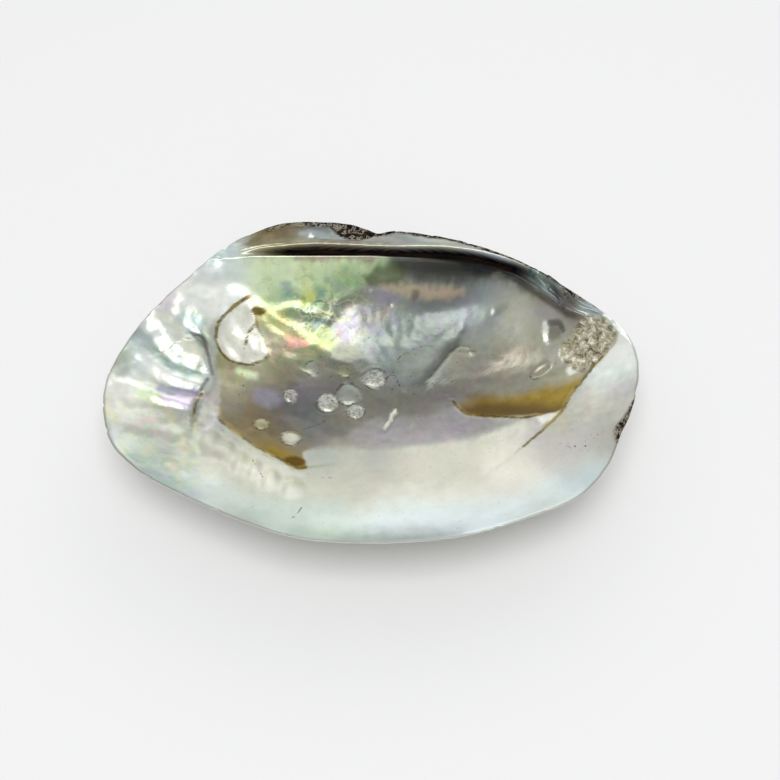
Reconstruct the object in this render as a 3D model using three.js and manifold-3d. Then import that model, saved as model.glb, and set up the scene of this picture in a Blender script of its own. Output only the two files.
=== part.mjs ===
// Left valve of a large freshwater pearl mussel, lying on its back with the mother of pearl facing up.
//
// Millimetres, +Z up. X runs from the rear end of the shell (-) to its front end (+), Y towards the hinge.
// The origin is on the surface that the shell stands on, under the middle of its bounding box.
//
// The valve grew as one piece, so it is one mesh. It starts as a flat slab of quads: the slab's top becomes
// the hollow inside, its underside becomes the domed outside, and its sides become the thin edge. The hinge
// ridges and teeth are swept along the hinge and joined to it, and so are the blister pearls inside.
import * as THREE from "three";
import { mergeVertices } from "three/addons/utils/BufferGeometryUtils.js";
import Module from "manifold-3d";

const wasm = await Module();
wasm.setup();

// Driving dimensions
const HALF_LENGTH = 90; // of the outline, along X
const HALF_WIDTH = 62.8; // of the outline, along Y
const RIM_HEIGHT = 26; // the plane of the edge, above the floor
const HOLLOW_DEPTH = 22.8; // deepest point of the inside, below the edge
const DOME_DEPTH = 25.2; // the outside's own drop below the edge, before its foot is ground flat
const DEEPEST = new THREE.Vector2(6, 5); // where the hollow is deepest, in plan
const THIN_EDGE = 1.2; // thickness at the lower edge
const THICK_EDGE = 2.4; // thickness at the hinge edge
const PLATE_EXTRA = 1.6; // how much thicker the hinge plate is than its edge
const WALL_THICKNESS = 3.2; // of the steep wall under the hinge, measured outwards
const UMBO_X = 52; // the beak's place along the hinge
const UMBO_LENGTH = 22; // and how far its swelling reaches along it
const CAVITY_UNDERCUT = 4; // how far the inside runs in under the hinge at the beak
const UMBO_BULGE = 5.5; // how far the outside swells past the hinge there

// The bowl's side is an even curve, mixed with a steep one under the hinge. The steep one's share is
// greatest under the front of the hinge, in the direction STEEP_ANGLE from the deepest point.
const EVEN_SIDE = 2.1;
const STEEP_SIDE = 8;
const STEEP_SHARE = 0.75;
const STEEP_ANGLE = 0.95;
const STEEP_SPREAD = 0.87;

// Quads of the slab along and across the shell. The hollow's edge follows one loop of them, which lies
// EDGE_LOOP of the way from the slab's middle to its outer edge and keeps at least a lip's width inside it.
const QUADS_LONG = 40;
const QUADS_WIDE = 30;
const EDGE_LOOP = 0.8;
const LIP_WIDTH = 2.5;

// The outline in plan, from the rear end round by the hinge, the front end and the lower edge.
// The step at X = 1.5 is where the wing behind the hinge has broken off.
const OUTLINE = [
  [-90, -9], [-88.5, 1], [-83.5, 13], [-76.5, 25], [-66, 38], [-55, 50],
  [-44, 57.5], [-31, 62.4], [-12, 62.2], [-3, 59.6], [1.5, 57.6], [7, 58.7],
  [17, 57.5], [31, 54.4], [45, 49], [58.5, 41.5], [69, 33], [78.5, 25],
  [86, 17], [89.6, 8], [89.6, -2], [86.5, -14], [81, -26], [76, -36.5],
  [66, -47], [50, -54], [31, -60], [12, -62.5], [-6.5, -62.8], [-24, -61],
  [-42, -55], [-61, -46], [-75, -38], [-84.5, -29], [-88.7, -19],
];

// The hollow's edge along the hinge, from the rear end of the hinge to its front end.
const HINGE_LINE = [
  [-70, 46], [-50, 46.5], [-25, 46.5], [5, 46.5], [24, 45.5], [38, 43.5],
  [50, 39], [59, 32], [67, 25.5], [74, 21.5], [84, 16], [95, 8],
];

// The two long hinge ridges that locked this valve to the other one, with a groove between them, and the
// short teeth in front of them.
const RIDGE_RADIUS = 1.3;
const RIDGES = [
  { fromX: -48, toX: 32, above: 1.3, crest: 1.1 },
  { fromX: -44, toX: 60, above: 5.4, crest: 1.4 },
  { fromX: 54, toX: 67, above: 2, crest: 1.1 },
  { fromX: 63, toX: 75, above: 3.4, crest: 0.9 },
];

// Blister pearls grown onto the inside: their middles in plan and their radii.
const PEARLS = [
  [-16, 0, 3.9], [-8.7, 4, 4.5], [-5.8, -3, 3.2], [0.5, 9.6, 4.2],
  [-29, 1.5, 2.8], [-38, -11, 2.8], [-28, -15, 3], [-10, 13, 2.5],
];
const PEARL_RISE = 1;

const clamp01 = (v) => THREE.MathUtils.clamp(v, 0, 1);
const smooth = (low, high, v) => {
  const t = clamp01((v - low) / (high - low));
  return t * t * (3 - 2 * t);
};
const mix = THREE.MathUtils.lerp;

// A curve read as its distance from the deepest point in each direction, or FAR where it does not reach.
const FAR = 1000;
function reachOf(points, closed) {
  const samples = points.map((p) => ({
    angle: Math.atan2(p.y - DEEPEST.y, p.x - DEEPEST.x),
    reach: Math.hypot(p.x - DEEPEST.x, p.y - DEEPEST.y),
  }));
  samples.sort((a, b) => a.angle - b.angle);
  const last = samples.length - 1;
  const beyond = closed ? samples[0].reach : FAR;
  return (angle) => {
    if (angle <= samples[0].angle || angle >= samples[last].angle) return beyond;
    let low = 0;
    let high = last;
    while (high - low > 1) {
      const middle = (low + high) >> 1;
      if (samples[middle].angle <= angle) low = middle;
      else high = middle;
    }
    const share = (angle - samples[low].angle) / (samples[high].angle - samples[low].angle);
    return mix(samples[low].reach, samples[high].reach, share);
  };
}

const outlinePoints = OUTLINE.map(([x, y]) => new THREE.Vector3(x, y, 0));
const outlineCurve = new THREE.CatmullRomCurve3(outlinePoints, true, "centripetal");
const outlineReach = reachOf(outlineCurve.getPoints(1440).slice(1), true);

const hingeCurve = new THREE.SplineCurve(HINGE_LINE.map(([x, y]) => new THREE.Vector2(x, y)));
const hingePoints = hingeCurve.getPoints(240);
const hingeReach = reachOf(hingePoints, false);

// Y of the hinge line at X.
function hingeY(x) {
  const next = hingePoints.findIndex((p) => p.x > x);
  const [a, b] = [hingePoints[next - 1], hingePoints[next]];
  return mix(a.y, b.y, (x - a.x) / (b.x - a.x));
}

// The lesser of two distances, with the corner between them rounded.
function lesser(a, b, rounding = 4) {
  const share = clamp01(0.5 + (b - a) / (2 * rounding));
  return mix(b, a, share) - rounding * share * (1 - share);
}

// The hollow ends at the hinge line, or at the outline where there is no hinge.
const hollowReach = (angle, beyond = 0) => lesser(outlineReach(angle), hingeReach(angle) + beyond);

// A point of the slab, from -1 to 1 each way, in plan. The slab's square loops become rings round the
// deepest point. Loop runs from 0 there to 1 at the outer edge.
function planOf(s, t) {
  const alongX = Math.abs(s) > Math.abs(t);
  const signed = alongX ? s : t;
  const turn = alongX ? (Math.PI / 4) * (t / s) : Math.PI / 2 - (Math.PI / 4) * (s / (t || 1));
  const angle = Math.atan2(HALF_WIDTH * signed * Math.sin(turn), HALF_LENGTH * signed * Math.cos(turn));
  const loop = Math.abs(signed);
  const outer = outlineReach(angle);
  const edge = Math.min(outer - LIP_WIDTH, hollowReach(angle));
  const inward = Math.min(1, loop / EDGE_LOOP);
  const outward = Math.max(0, (loop - EDGE_LOOP) / (1 - EDGE_LOOP));
  const reach = mix(edge * mix(inward, Math.sin((inward * Math.PI) / 2), 0.5), outer, outward);
  return {
    x: DEEPEST.x + reach * Math.cos(angle),
    y: DEEPEST.y + reach * Math.sin(angle),
    reach,
    angle,
    loop,
  };
}

const hingeSide = (angle) => smooth(0.05, 0.45, Math.sin(angle));
const steepness = (angle) =>
  STEEP_SHARE * Math.exp((-2 * (1 - Math.cos(angle - STEEP_ANGLE))) / STEEP_SPREAD ** 2);
// How far up its side the bowl has come, from 0 at the deepest point to 1 at its edge.
const climb = (share, angle) => mix(share ** EVEN_SIDE, share ** STEEP_SIDE, steepness(angle));

// The umbo is the swollen beak at the front of the hinge. Its cavity runs in under the hinge.
const umboSwell = (x) => Math.exp(-(((x - UMBO_X) / UMBO_LENGTH) ** 2));
// A sideways push on the wall under the hinge: full near its top, and nothing at its edge or on the floor.
const pushAt = (share, angle) => smooth(0.5, 0.92, share) * smooth(1, 0.95, share) * hingeSide(angle);

function insidePoint({ x, y, reach, angle }) {
  const share = Math.min(1, reach / hollowReach(angle));
  const drop = HOLLOW_DEPTH * (1 - climb(share, angle));
  const undercut = CAVITY_UNDERCUT * umboSwell(x) * pushAt(share, angle);
  return [x, y + undercut, RIM_HEIGHT - drop];
}

function outsidePoint({ x, y, reach, angle, loop }) {
  const share = Math.min(1, reach / hollowReach(angle, WALL_THICKNESS));
  const edge = mix(THIN_EDGE, THICK_EDGE, hingeSide(angle) * loop ** 2);
  const plate = PLATE_EXTRA * smooth(1, 0.86, loop) * hingeSide(angle);
  const drop = DOME_DEPTH * (1 - climb(share, angle));
  const bulge = UMBO_BULGE * umboSwell(x) * pushAt(share, angle);
  return [x, y + bulge, Math.max(0, RIM_HEIGHT - edge - plate - drop)];
}

function makeSlab() {
  const slab = new THREE.BoxGeometry(2, 2, 2, QUADS_LONG, QUADS_WIDE, 1);
  slab.deleteAttribute("normal");
  slab.deleteAttribute("uv");
  const shaped = mergeVertices(slab, 1e-5);
  const position = shaped.getAttribute("position");
  for (let i = 0; i < position.count; i++) {
    const plan = planOf(position.getX(i), position.getY(i));
    const place = position.getZ(i) > 0 ? insidePoint(plan) : outsidePoint(plan);
    position.setXYZ(i, ...place);
  }
  return shaped;
}

// A round ridge along the hinge, at a distance above the hinge line. Its ends sink into the plate.
function makeRidge({ fromX, toX, above, crest }) {
  const stations = 9;
  const path = new THREE.CatmullRomCurve3(
    Array.from({ length: stations }, (_, i) => {
      const share = i / (stations - 1);
      const x = mix(fromX, toX, share);
      const sunk = crest * (1 - Math.sin(Math.PI * share) ** 0.5);
      return new THREE.Vector3(x, hingeY(x) + above, RIM_HEIGHT + crest - RIDGE_RADIUS - sunk);
    }),
  );
  const section = new THREE.Shape().absarc(0, 0, RIDGE_RADIUS, 0, 2 * Math.PI);
  const steps = Math.ceil((toX - fromX) / 4) + 4;
  return new THREE.ExtrudeGeometry(section, { extrudePath: path, steps, curveSegments: 6 });
}

// A flattened ball, half sunk in the inside of the shell.
function makePearl([x, y, radius]) {
  const angle = Math.atan2(y - DEEPEST.y, x - DEEPEST.x);
  const reach = Math.hypot(x - DEEPEST.x, y - DEEPEST.y);
  const ball = new THREE.SphereGeometry(1, 16, 10);
  ball.scale(radius, radius, PEARL_RISE);
  ball.translate(...insidePoint({ x, y, reach, angle }));
  return ball;
}

function solidOf(geometry) {
  const bare = geometry.index ? geometry.toNonIndexed() : geometry.clone();
  bare.deleteAttribute("normal");
  bare.deleteAttribute("uv");
  const merged = mergeVertices(bare, 1e-4);
  return new wasm.Manifold(
    new wasm.Mesh({
      numProp: 3,
      vertProperties: merged.getAttribute("position").array,
      triVerts: new Uint32Array(merged.index.array),
    }),
  );
}

function geometryOf(solid) {
  const { vertProperties, triVerts } = solid.getMesh();
  const geometry = new THREE.BufferGeometry();
  geometry.setAttribute("position", new THREE.BufferAttribute(vertProperties, 3));
  geometry.setIndex(new THREE.BufferAttribute(triVerts, 1));
  return geometry;
}

function makeValve() {
  const grown = [...RIDGES.map(makeRidge), ...PEARLS.map(makePearl)].map(solidOf);
  const joined = grown.reduce((whole, solid) => whole.add(solid), solidOf(makeSlab()));
  const valve = geometryOf(joined);
  valve.computeBoundingBox();
  const middle = valve.boundingBox.getCenter(new THREE.Vector3());
  valve.translate(-middle.x, -middle.y, -valve.boundingBox.min.z);
  valve.computeVertexNormals();
  return valve;
}

const nacre = new THREE.MeshStandardMaterial({ color: 0xcfd0c8, roughness: 0.22, metalness: 0 });

const shell = new THREE.Group();
const valve = new THREE.Mesh(makeValve(), nacre);
valve.name = "left_valve";
shell.add(valve);

export default shell;
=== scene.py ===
"""A mother of pearl shell: the left valve of a large freshwater pearl mussel, lying on its back.

The valve is one sheet of quads folded round its own edge. Its upper side becomes the pearly hollow and its
lower side the domed back. Sizes are in millimetres until the mesh is finished, and in metres after that.
X runs from the rear end of the shell to its front end, Y towards the hinge and Z up out of the hollow.
"""

import logging
import math
from dataclasses import dataclass, field
from enum import Enum
from typing import Any, Callable, Iterable, Sequence

import bmesh
import bpy
import numpy as np
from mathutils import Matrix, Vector


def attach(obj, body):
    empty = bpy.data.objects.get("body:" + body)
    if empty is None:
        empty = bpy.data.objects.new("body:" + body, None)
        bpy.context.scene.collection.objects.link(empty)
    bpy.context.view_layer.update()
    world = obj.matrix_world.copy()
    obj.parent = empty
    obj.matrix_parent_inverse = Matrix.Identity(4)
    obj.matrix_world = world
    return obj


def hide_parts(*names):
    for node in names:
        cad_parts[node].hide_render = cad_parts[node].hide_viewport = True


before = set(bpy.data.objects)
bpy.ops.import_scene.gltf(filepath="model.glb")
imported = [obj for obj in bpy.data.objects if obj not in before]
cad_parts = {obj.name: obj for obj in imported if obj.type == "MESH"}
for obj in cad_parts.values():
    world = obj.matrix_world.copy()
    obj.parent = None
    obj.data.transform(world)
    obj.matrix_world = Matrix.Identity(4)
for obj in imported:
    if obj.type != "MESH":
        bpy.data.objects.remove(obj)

logging.basicConfig(level=logging.INFO, format="%(message)s")
log = logging.getLogger("shell")

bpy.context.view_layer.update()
MM = 0.001
COAT_ROUGHNESS = 0.08
NODE = "left_valve"
Points = Sequence[tuple[float, float]]
Stops = Sequence[tuple[float, str]]
Colour = tuple[float, float, float, float]
Array = np.ndarray


# ---------------------------------------------------------------------------------------------- curves


def clamp01(value: Array) -> Array:
    """Keeps values between 0 and 1."""
    return np.clip(value, 0.0, 1.0)


def smooth(low: float, high: float, value: Array) -> Array:
    """An eased step from 0 at low to 1 at high.

    Args:
        low: the value where the step starts.
        high: the value where it ends. It may be the lesser of the two.
        value: what is stepped.

    Returns:
        The step's height, from 0 to 1.
    """
    share = clamp01((value - low) / (high - low))
    return share * share * (3 - 2 * share)


def mix(a: Any, b: Any, share: Any) -> Any:
    """A value between a and b."""
    return a + (b - a) * share


def lesser(a: Array, b: Array, rounding: float = 4.0) -> Array:
    """The lesser of two distances, with the corner between them rounded."""
    share = clamp01(0.5 + (b - a) / (2 * rounding))
    return mix(b, a, share) - rounding * share * (1 - share)


def through(points: Points, closed: bool = False, steps: int = 10) -> Array:
    """A smooth curve through points.

    Args:
        points: the points, in millimetres.
        closed: whether the curve comes back to its first point.
        steps: how many pieces each span is cut into.

    Returns:
        The curve's points, one row each.
    """
    p = np.array(points, float)
    if closed:
        ring = np.vstack([p[-1:], p, p[:2]])
    else:
        ring = np.vstack([2 * p[:1] - p[1:2], p, 2 * p[-1:] - p[-2:-1]])
    t = (np.arange(steps) / steps)[:, None]
    spans = [
        0.5 * (2 * b + (c - a) * t + (2 * a - 5 * b + 4 * c - d) * t**2 + (3 * b - a - 3 * c + d) * t**3)
        for a, b, c, d in zip(ring[:-3], ring[1:-2], ring[2:-1], ring[3:])
    ]
    return np.vstack([*spans, p[:1] if closed else p[-1:]])


def near_line(x: Array, y: Array, line: Array, reach: float) -> Array:
    """Which places lie within reach of the box round a line."""
    low, high = line.min(0) - reach, line.max(0) + reach
    return (x > low[0]) & (x < high[0]) & (y > low[1]) & (y < high[1])


def distance(x: Array, y: Array, line: Array, reach: float = 20.0) -> tuple[Array, Array]:
    """How far places lie from a line.

    Args:
        x: the places' X.
        y: the places' Y.
        line: the line's points, one row each.
        reach: the distance given to places that lie well away from the line.

    Returns:
        The distance, and 1 or -1 for the line's left or right side.
    """
    near = near_line(x, y, line, reach)
    px, py = x[near], y[near]
    best = np.full(px.shape, reach)
    turned = np.ones(px.shape)
    for (ax, ay), (bx, by) in zip(line[:-1], line[1:]):
        dx, dy = bx - ax, by - ay
        share = clamp01(((px - ax) * dx + (py - ay) * dy) / max(dx * dx + dy * dy, 1e-12))
        away = np.hypot(px - ax - share * dx, py - ay - share * dy)
        nearer = away < best
        best = np.where(nearer, away, best)
        turned = np.where(nearer, np.sign(dx * (py - ay) - dy * (px - ax)), turned)
    far, side = np.full(x.shape, reach), np.ones(x.shape)
    far[near], side[near] = best, turned
    return far, side


def within(x: Array, y: Array, ring: Array, reach: float = 8.0) -> Array:
    """How far places lie inside a closed line.

    Args:
        x: the places' X.
        y: the places' Y.
        ring: the line's points, whose last is its first.
        reach: the distance given to places that lie well away from the line.

    Returns:
        The distance: more than 0 inside the line and less than 0 outside it.
    """
    inside = np.zeros(x.shape, bool)
    for (ax, ay), (bx, by) in zip(ring[:-1], ring[1:]):
        if ay != by:
            inside ^= ((ay > y) != (by > y)) & (x < (bx - ax) * (y - ay) / (by - ay) + ax)
    away, _ = distance(x, y, ring, reach)
    return np.where(inside, away, -away)


def inside_ring(x: Array, y: Array, corners: Points, steps: int = 10) -> Array:
    """How far places lie inside the closed curve through some corners."""
    return within(x, y, through((*corners, corners[0]), steps=steps))


def nearest(x: Array, y: Array, lines: Iterable[Points]) -> Array:
    """How far places lie from the nearest of some curves."""
    return np.min([distance(x, y, through(line))[0] for line in lines], axis=0)


def swell(x: Array, y: Array, middle: tuple[float, float], wide: float, high: float) -> Array:
    """A soft oval hump, 1 at its middle and fading to 0 beyond its half sizes."""
    return np.exp(-(((x - middle[0]) / wide) ** 2) - ((y - middle[1]) / high) ** 2)


CELLS = 256
STRETCH = 1.5


class Ripple:
    """Smooth, seeded unevenness over the plan of the shell."""

    def __init__(self, seed: int) -> None:
        """Draws the slopes that the unevenness follows."""
        turn = np.random.default_rng(seed).uniform(0, 2 * math.pi, (CELLS, CELLS))
        self.slopes = np.stack([np.cos(turn), np.sin(turn)])

    def __call__(self, x: Array, y: Array, size: float) -> Array:
        """The height of the unevenness.

        Args:
            x: the places' X.
            y: the places' Y.
            size: how far apart its humps lie.

        Returns:
            Heights, nearly all between -1 and 1.
        """
        u, v = x / size, y / size
        column, row = np.floor(u).astype(int), np.floor(v).astype(int)
        fu, fv = u - column, v - row
        eu, ev = (f**3 * (f * (6 * f - 15) + 10) for f in (fu, fv))

        def corner(i: int, j: int) -> Array:
            """What one corner of the square gives."""
            sx, sy = self.slopes[:, (column + i) % CELLS, (row + j) % CELLS]
            return sx * (fu - i) + sy * (fv - j)

        low = mix(corner(0, 0), corner(1, 0), eu)
        high = mix(corner(0, 1), corner(1, 1), eu)
        return STRETCH * mix(low, high, ev)


# ------------------------------------------------------------------------------------------- the form


@dataclass
class Plan:
    """The valve seen from above: its outline and the line of its hinge.

    The step in the outline behind the middle of the hinge is where the wing has broken off.
    """

    half_length: float = 90.0
    half_width: float = 62.8
    deepest: tuple[float, float] = (6.0, 5.0)
    lip: float = 0.35
    edge_loop: float = 0.7
    ridges_width: float = 8.5
    outline: Points = (
        (-90, -9), (-88.5, 1), (-83.5, 13), (-76.5, 25), (-66, 38), (-55, 50),
        (-44, 57.5), (-31, 62.4), (-12, 62.2), (-3, 59.6), (1.5, 57.6), (7, 58.7),
        (17, 57.5), (31, 54.4), (45, 49), (58.5, 41.5), (69, 33), (78.5, 25),
        (86, 17), (89.6, 8), (89.6, -2), (86.5, -14), (81, -26), (76, -36.5),
        (66, -47), (50, -54), (31, -60), (12, -62.5), (-6.5, -62.8), (-24, -61),
        (-42, -55), (-61, -46), (-75, -38), (-84.5, -29), (-88.7, -19),
    )
    hinge: Points = (
        (-70, 46), (-50, 46.5), (-25, 46.5), (5, 46.5), (24, 45.5), (38, 43.5),
        (50, 39), (59, 32), (67, 25.5), (74, 21.5), (84, 16), (95, 8),
    )

    def __post_init__(self) -> None:
        """Draws the curves, and finds how far they lie in each direction."""
        self.rim = through(self.outline, closed=True, steps=16)
        self.hinge_curve = through(self.hinge, steps=20)
        self.outer = self._reach(self.rim, closed=True)
        self.hinge_reach = self._reach(self.hinge_curve, closed=False)

    def _reach(self, curve: Array, closed: bool) -> Callable[[Array], Array]:
        """A curve as its distance from the deepest point in each direction.

        Args:
            curve: the curve's points.
            closed: whether it goes all the way round.

        Returns:
            What gives the distance for a direction. It is very large where an open curve has ended.
        """
        away = curve - self.deepest
        angle = np.arctan2(away[:, 1], away[:, 0])
        order = np.argsort(angle)
        angle, reach = angle[order], np.hypot(*away.T)[order]
        if closed:
            return lambda a: np.interp(a, angle, reach, period=2 * math.pi)
        return lambda a: np.interp(a, angle, reach, left=1000.0, right=1000.0)

    def hinge_y(self, x: Array) -> Array:
        """Y of the hinge line at X."""
        return np.interp(x, self.hinge_curve[:, 0], self.hinge_curve[:, 1])

    def above(self, x: Array, y: Array) -> Array:
        """How far places lie outside the hinge line. It is less than 0 in the hollow."""
        slope = (self.hinge_y(x + 1) - self.hinge_y(x - 1)) / 2
        return (y - self.hinge_y(x)) / np.sqrt(1 + slope**2)

    def hollow_reach(self, angle: Array, beyond: float = 0.0) -> Array:
        """How far the hollow reaches: to the hinge line, or to the outline where there is no hinge."""
        return lesser(self.outer(angle), self.hinge_reach(angle) + beyond)

    def place(self, s: Array, t: Array) -> tuple[Array, Array, Array]:
        """Lays the square sheet out over the plan.

        The sheet's square loops become rings round the deepest point. One of them follows the hinge line,
        and the rings outside it crowd together over the hinge ridges.

        Args:
            s: places along the sheet, from -1 to 1.
            t: places across the sheet, from -1 to 1.

        Returns:
            The direction and the distance from the deepest point, and the loop, from 0 to 1.
        """
        along = np.abs(s) > np.abs(t)
        signed = np.where(along, s, t)
        other = np.where(along, t, s)
        part = math.pi / 4 * other / np.where(signed == 0, 1, signed)
        turn = np.where(along, part, math.pi / 2 - part)
        angle = np.arctan2(self.half_width * signed * np.sin(turn), self.half_length * signed * np.cos(turn))
        loop = np.abs(signed)
        outer = self.outer(angle) - self.lip
        hinge = smooth(0.1, 0.3, np.sin(angle))
        edge = mix(0.72 * outer, np.minimum(outer - 2.5, self.hollow_reach(angle)), hinge)
        inward = np.minimum(1, loop / self.edge_loop)
        outward = np.maximum(0, (loop - self.edge_loop) / (1 - self.edge_loop))
        width = outer - edge
        ridges = np.minimum(self.ridges_width, 0.7 * width)
        crowded = np.where(
            outward < 0.7, ridges * outward / 0.7, mix(ridges, width, clamp01((outward - 0.7) / 0.3))
        )
        band = mix(width * outward, crowded, hinge)
        eased = mix(inward, np.sin(inward * math.pi / 2), 0.4 * hinge)
        return angle, edge * eased + band, loop


@dataclass
class Bowl:
    """The depth of the hollow and the dome, and the thickness between them."""

    plan: Plan
    rim_height: float = 26.0
    hollow_depth: float = 22.8
    dome_depth: float = 25.2
    thin_edge: float = 1.2
    thick_edge: float = 2.4
    plate_extra: float = 1.6
    wall: float = 3.2
    umbo_x: float = 52.0
    umbo_length: float = 22.0
    undercut: float = 4.0
    bulge: float = 5.5
    even_side: float = 2.1
    steep_side: float = 8.0
    steep_share: float = 0.75
    steep_angle: float = 0.95
    steep_spread: float = 0.87

    def climb(self, share: Array, angle: Array) -> Array:
        """How far up its side the bowl has come, from 0 at the deepest point to 1 at its edge."""
        facing = np.exp(-2 * (1 - np.cos(angle - self.steep_angle)) / self.steep_spread**2)
        return mix(share**self.even_side, share**self.steep_side, self.steep_share * facing)

    def hinge_side(self, angle: Array) -> Array:
        """1 on the hinge's side of the shell and 0 on the other."""
        return smooth(0.05, 0.45, np.sin(angle))

    def push(self, x: Array, share: Array, angle: Array) -> Array:
        """How much of the beak's swelling the wall under the hinge has, from 0 to 1."""
        along = np.exp(-(((x - self.umbo_x) / self.umbo_length) ** 2))
        return along * smooth(0.5, 0.92, share) * smooth(1, 0.95, share) * self.hinge_side(angle)

    def inside(self, x: Array, angle: Array, reach: Array) -> tuple[Array, Array]:
        """The hollow before anything grew on it.

        Args:
            x: the places' X.
            angle: their direction from the deepest point.
            reach: their distance from it.

        Returns:
            The push along Y and the height.
        """
        share = np.minimum(1, reach / self.plan.hollow_reach(angle))
        height = self.rim_height - self.hollow_depth * (1 - self.climb(share, angle))
        return self.undercut * self.push(x, share, angle), height

    def outside(self, x: Array, angle: Array, reach: Array, loop: Array) -> tuple[Array, Array]:
        """The dome before its foot is worn flat.

        Args:
            x: the places' X.
            angle: their direction from the deepest point.
            reach: their distance from it.
            loop: the loop of the sheet that they are on.

        Returns:
            The push along Y and the height.
        """
        share = np.minimum(1, reach / self.plan.hollow_reach(angle, self.wall))
        side = self.hinge_side(angle)
        edge = mix(self.thin_edge, self.thick_edge, side * loop**2)
        plate = self.plate_extra * smooth(1, 0.9, loop) * side
        drop = self.dome_depth * (1 - self.climb(share, angle))
        return self.bulge * self.push(x, share, angle), self.rim_height - edge - plate - drop


# ------------------------------------------------------------------------------- what grew on the shell


@dataclass(frozen=True)
class Ridge:
    """A raised line, or a furrow where its height is less than 0."""

    points: Points
    height: float
    half_width: float

    def rise(self, x: Array, y: Array) -> Array:
        """How far it stands above the shell."""
        away, _ = distance(x, y, through(self.points), self.half_width)
        return self.height * (1 - clamp01(away / self.half_width) ** 2) ** 2


@dataclass(frozen=True)
class Step:
    """A line with the shell higher on its left side. The height fades away from the line."""

    points: Points
    height: float
    fade: float

    def rise(self, x: Array, y: Array) -> Array:
        """How far it lifts the shell."""
        away, side = distance(x, y, through(self.points), 4 * self.fade)
        return self.height * smooth(-0.5, 0.5, away * side) * np.exp(-away / self.fade)


@dataclass(frozen=True)
class Knob:
    """A blister pearl or a soft bump."""

    x: float
    y: float
    radius: float
    height: float
    crisp: float = 0.0
    flat: float = 1.0

    def away(self, x: Array, y: Array) -> Array:
        """How far places lie from its middle, in its own radii."""
        return np.hypot(x - self.x, (y - self.y) / self.flat) / self.radius

    def rise(self, x: Array, y: Array) -> Array:
        """How far it stands above the shell. A crisp one has a steep side in a shallow ring."""
        away = self.away(x, y)
        soft = (1 - clamp01(away / 1.15) ** 2) ** 2
        disc = smooth(1.1, 0.75, away) * (1 - 0.15 * clamp01(away) ** 2)
        ring = np.exp(-(((away - 1.12) / 0.1) ** 2))
        return self.height * mix(soft, disc - 0.3 * ring, self.crisp)


PEARLS: tuple[Knob, ...] = (
    Knob(-16.2, -0.3, 3.7, 0.5, 1.0), Knob(-8.7, 3.4, 4.3, 0.8, 0.4), Knob(-6.2, -3.6, 3.1, 0.5, 0.8),
    Knob(0.3, 9.8, 4.2, 0.5, 0.7, 0.85), Knob(-29, 1.7, 2.5, 0.45, 0.8),
    Knob(-38.7, -11, 2.7, 0.4, 0.7, 0.75),
    Knob(-28.3, -16.2, 3.2, 0.5, 0.8, 0.85), Knob(-10, 12.8, 2.6, 0.4, 0.5), Knob(-22, 13, 2.6, 0.35, 0.4),
)
BUMPS: tuple[Knob, ...] = (
    Knob(-55.0, -21.5, 5.4, 1.2, 0, 1.3), Knob(-62, -27, 4.6, 0.9, 0, 1.2), Knob(-66.5, -33.5, 3.6, 0.6),
    Knob(-49.4, -24, 4.0, 0.9, 0, 1.3), Knob(-44.4, -28.5, 4.0, 0.8, 0, 1.3),
    Knob(-39.6, -31, 3.6, 0.7, 0, 1.3),
    Knob(-34, -35.5, 4.2, 0.8, 0, 1.2), Knob(-26.5, -38.5, 4.6, 0.7, 0, 1.1), Knob(-67, -20.5, 4.6, 0.7),
    Knob(-62, -17, 4, 0.4), Knob(-52, -36, 5, 0.35), Knob(-80, -7, 5, 0.4),
    Knob(-76, -17, 6, 0.4), Knob(84, 9, 3.5, 0.5), Knob(79.5, 2, 3, 0.3), Knob(86, 1.5, 2.6, 0.25),
    Knob(15, 39.5, 2, -0.5),
    Knob(44, 31, 2, -0.4), Knob(32, 28.5, 2, -0.4), Knob(63.5, 20, 3.4, -0.9, 0.5, 0.8),
    Knob(61, 24, 3, 0.6), Knob(-1.5, 40.5, 1.2, -0.4), Knob(6, 37, 1.2, -0.4),
)
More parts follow.
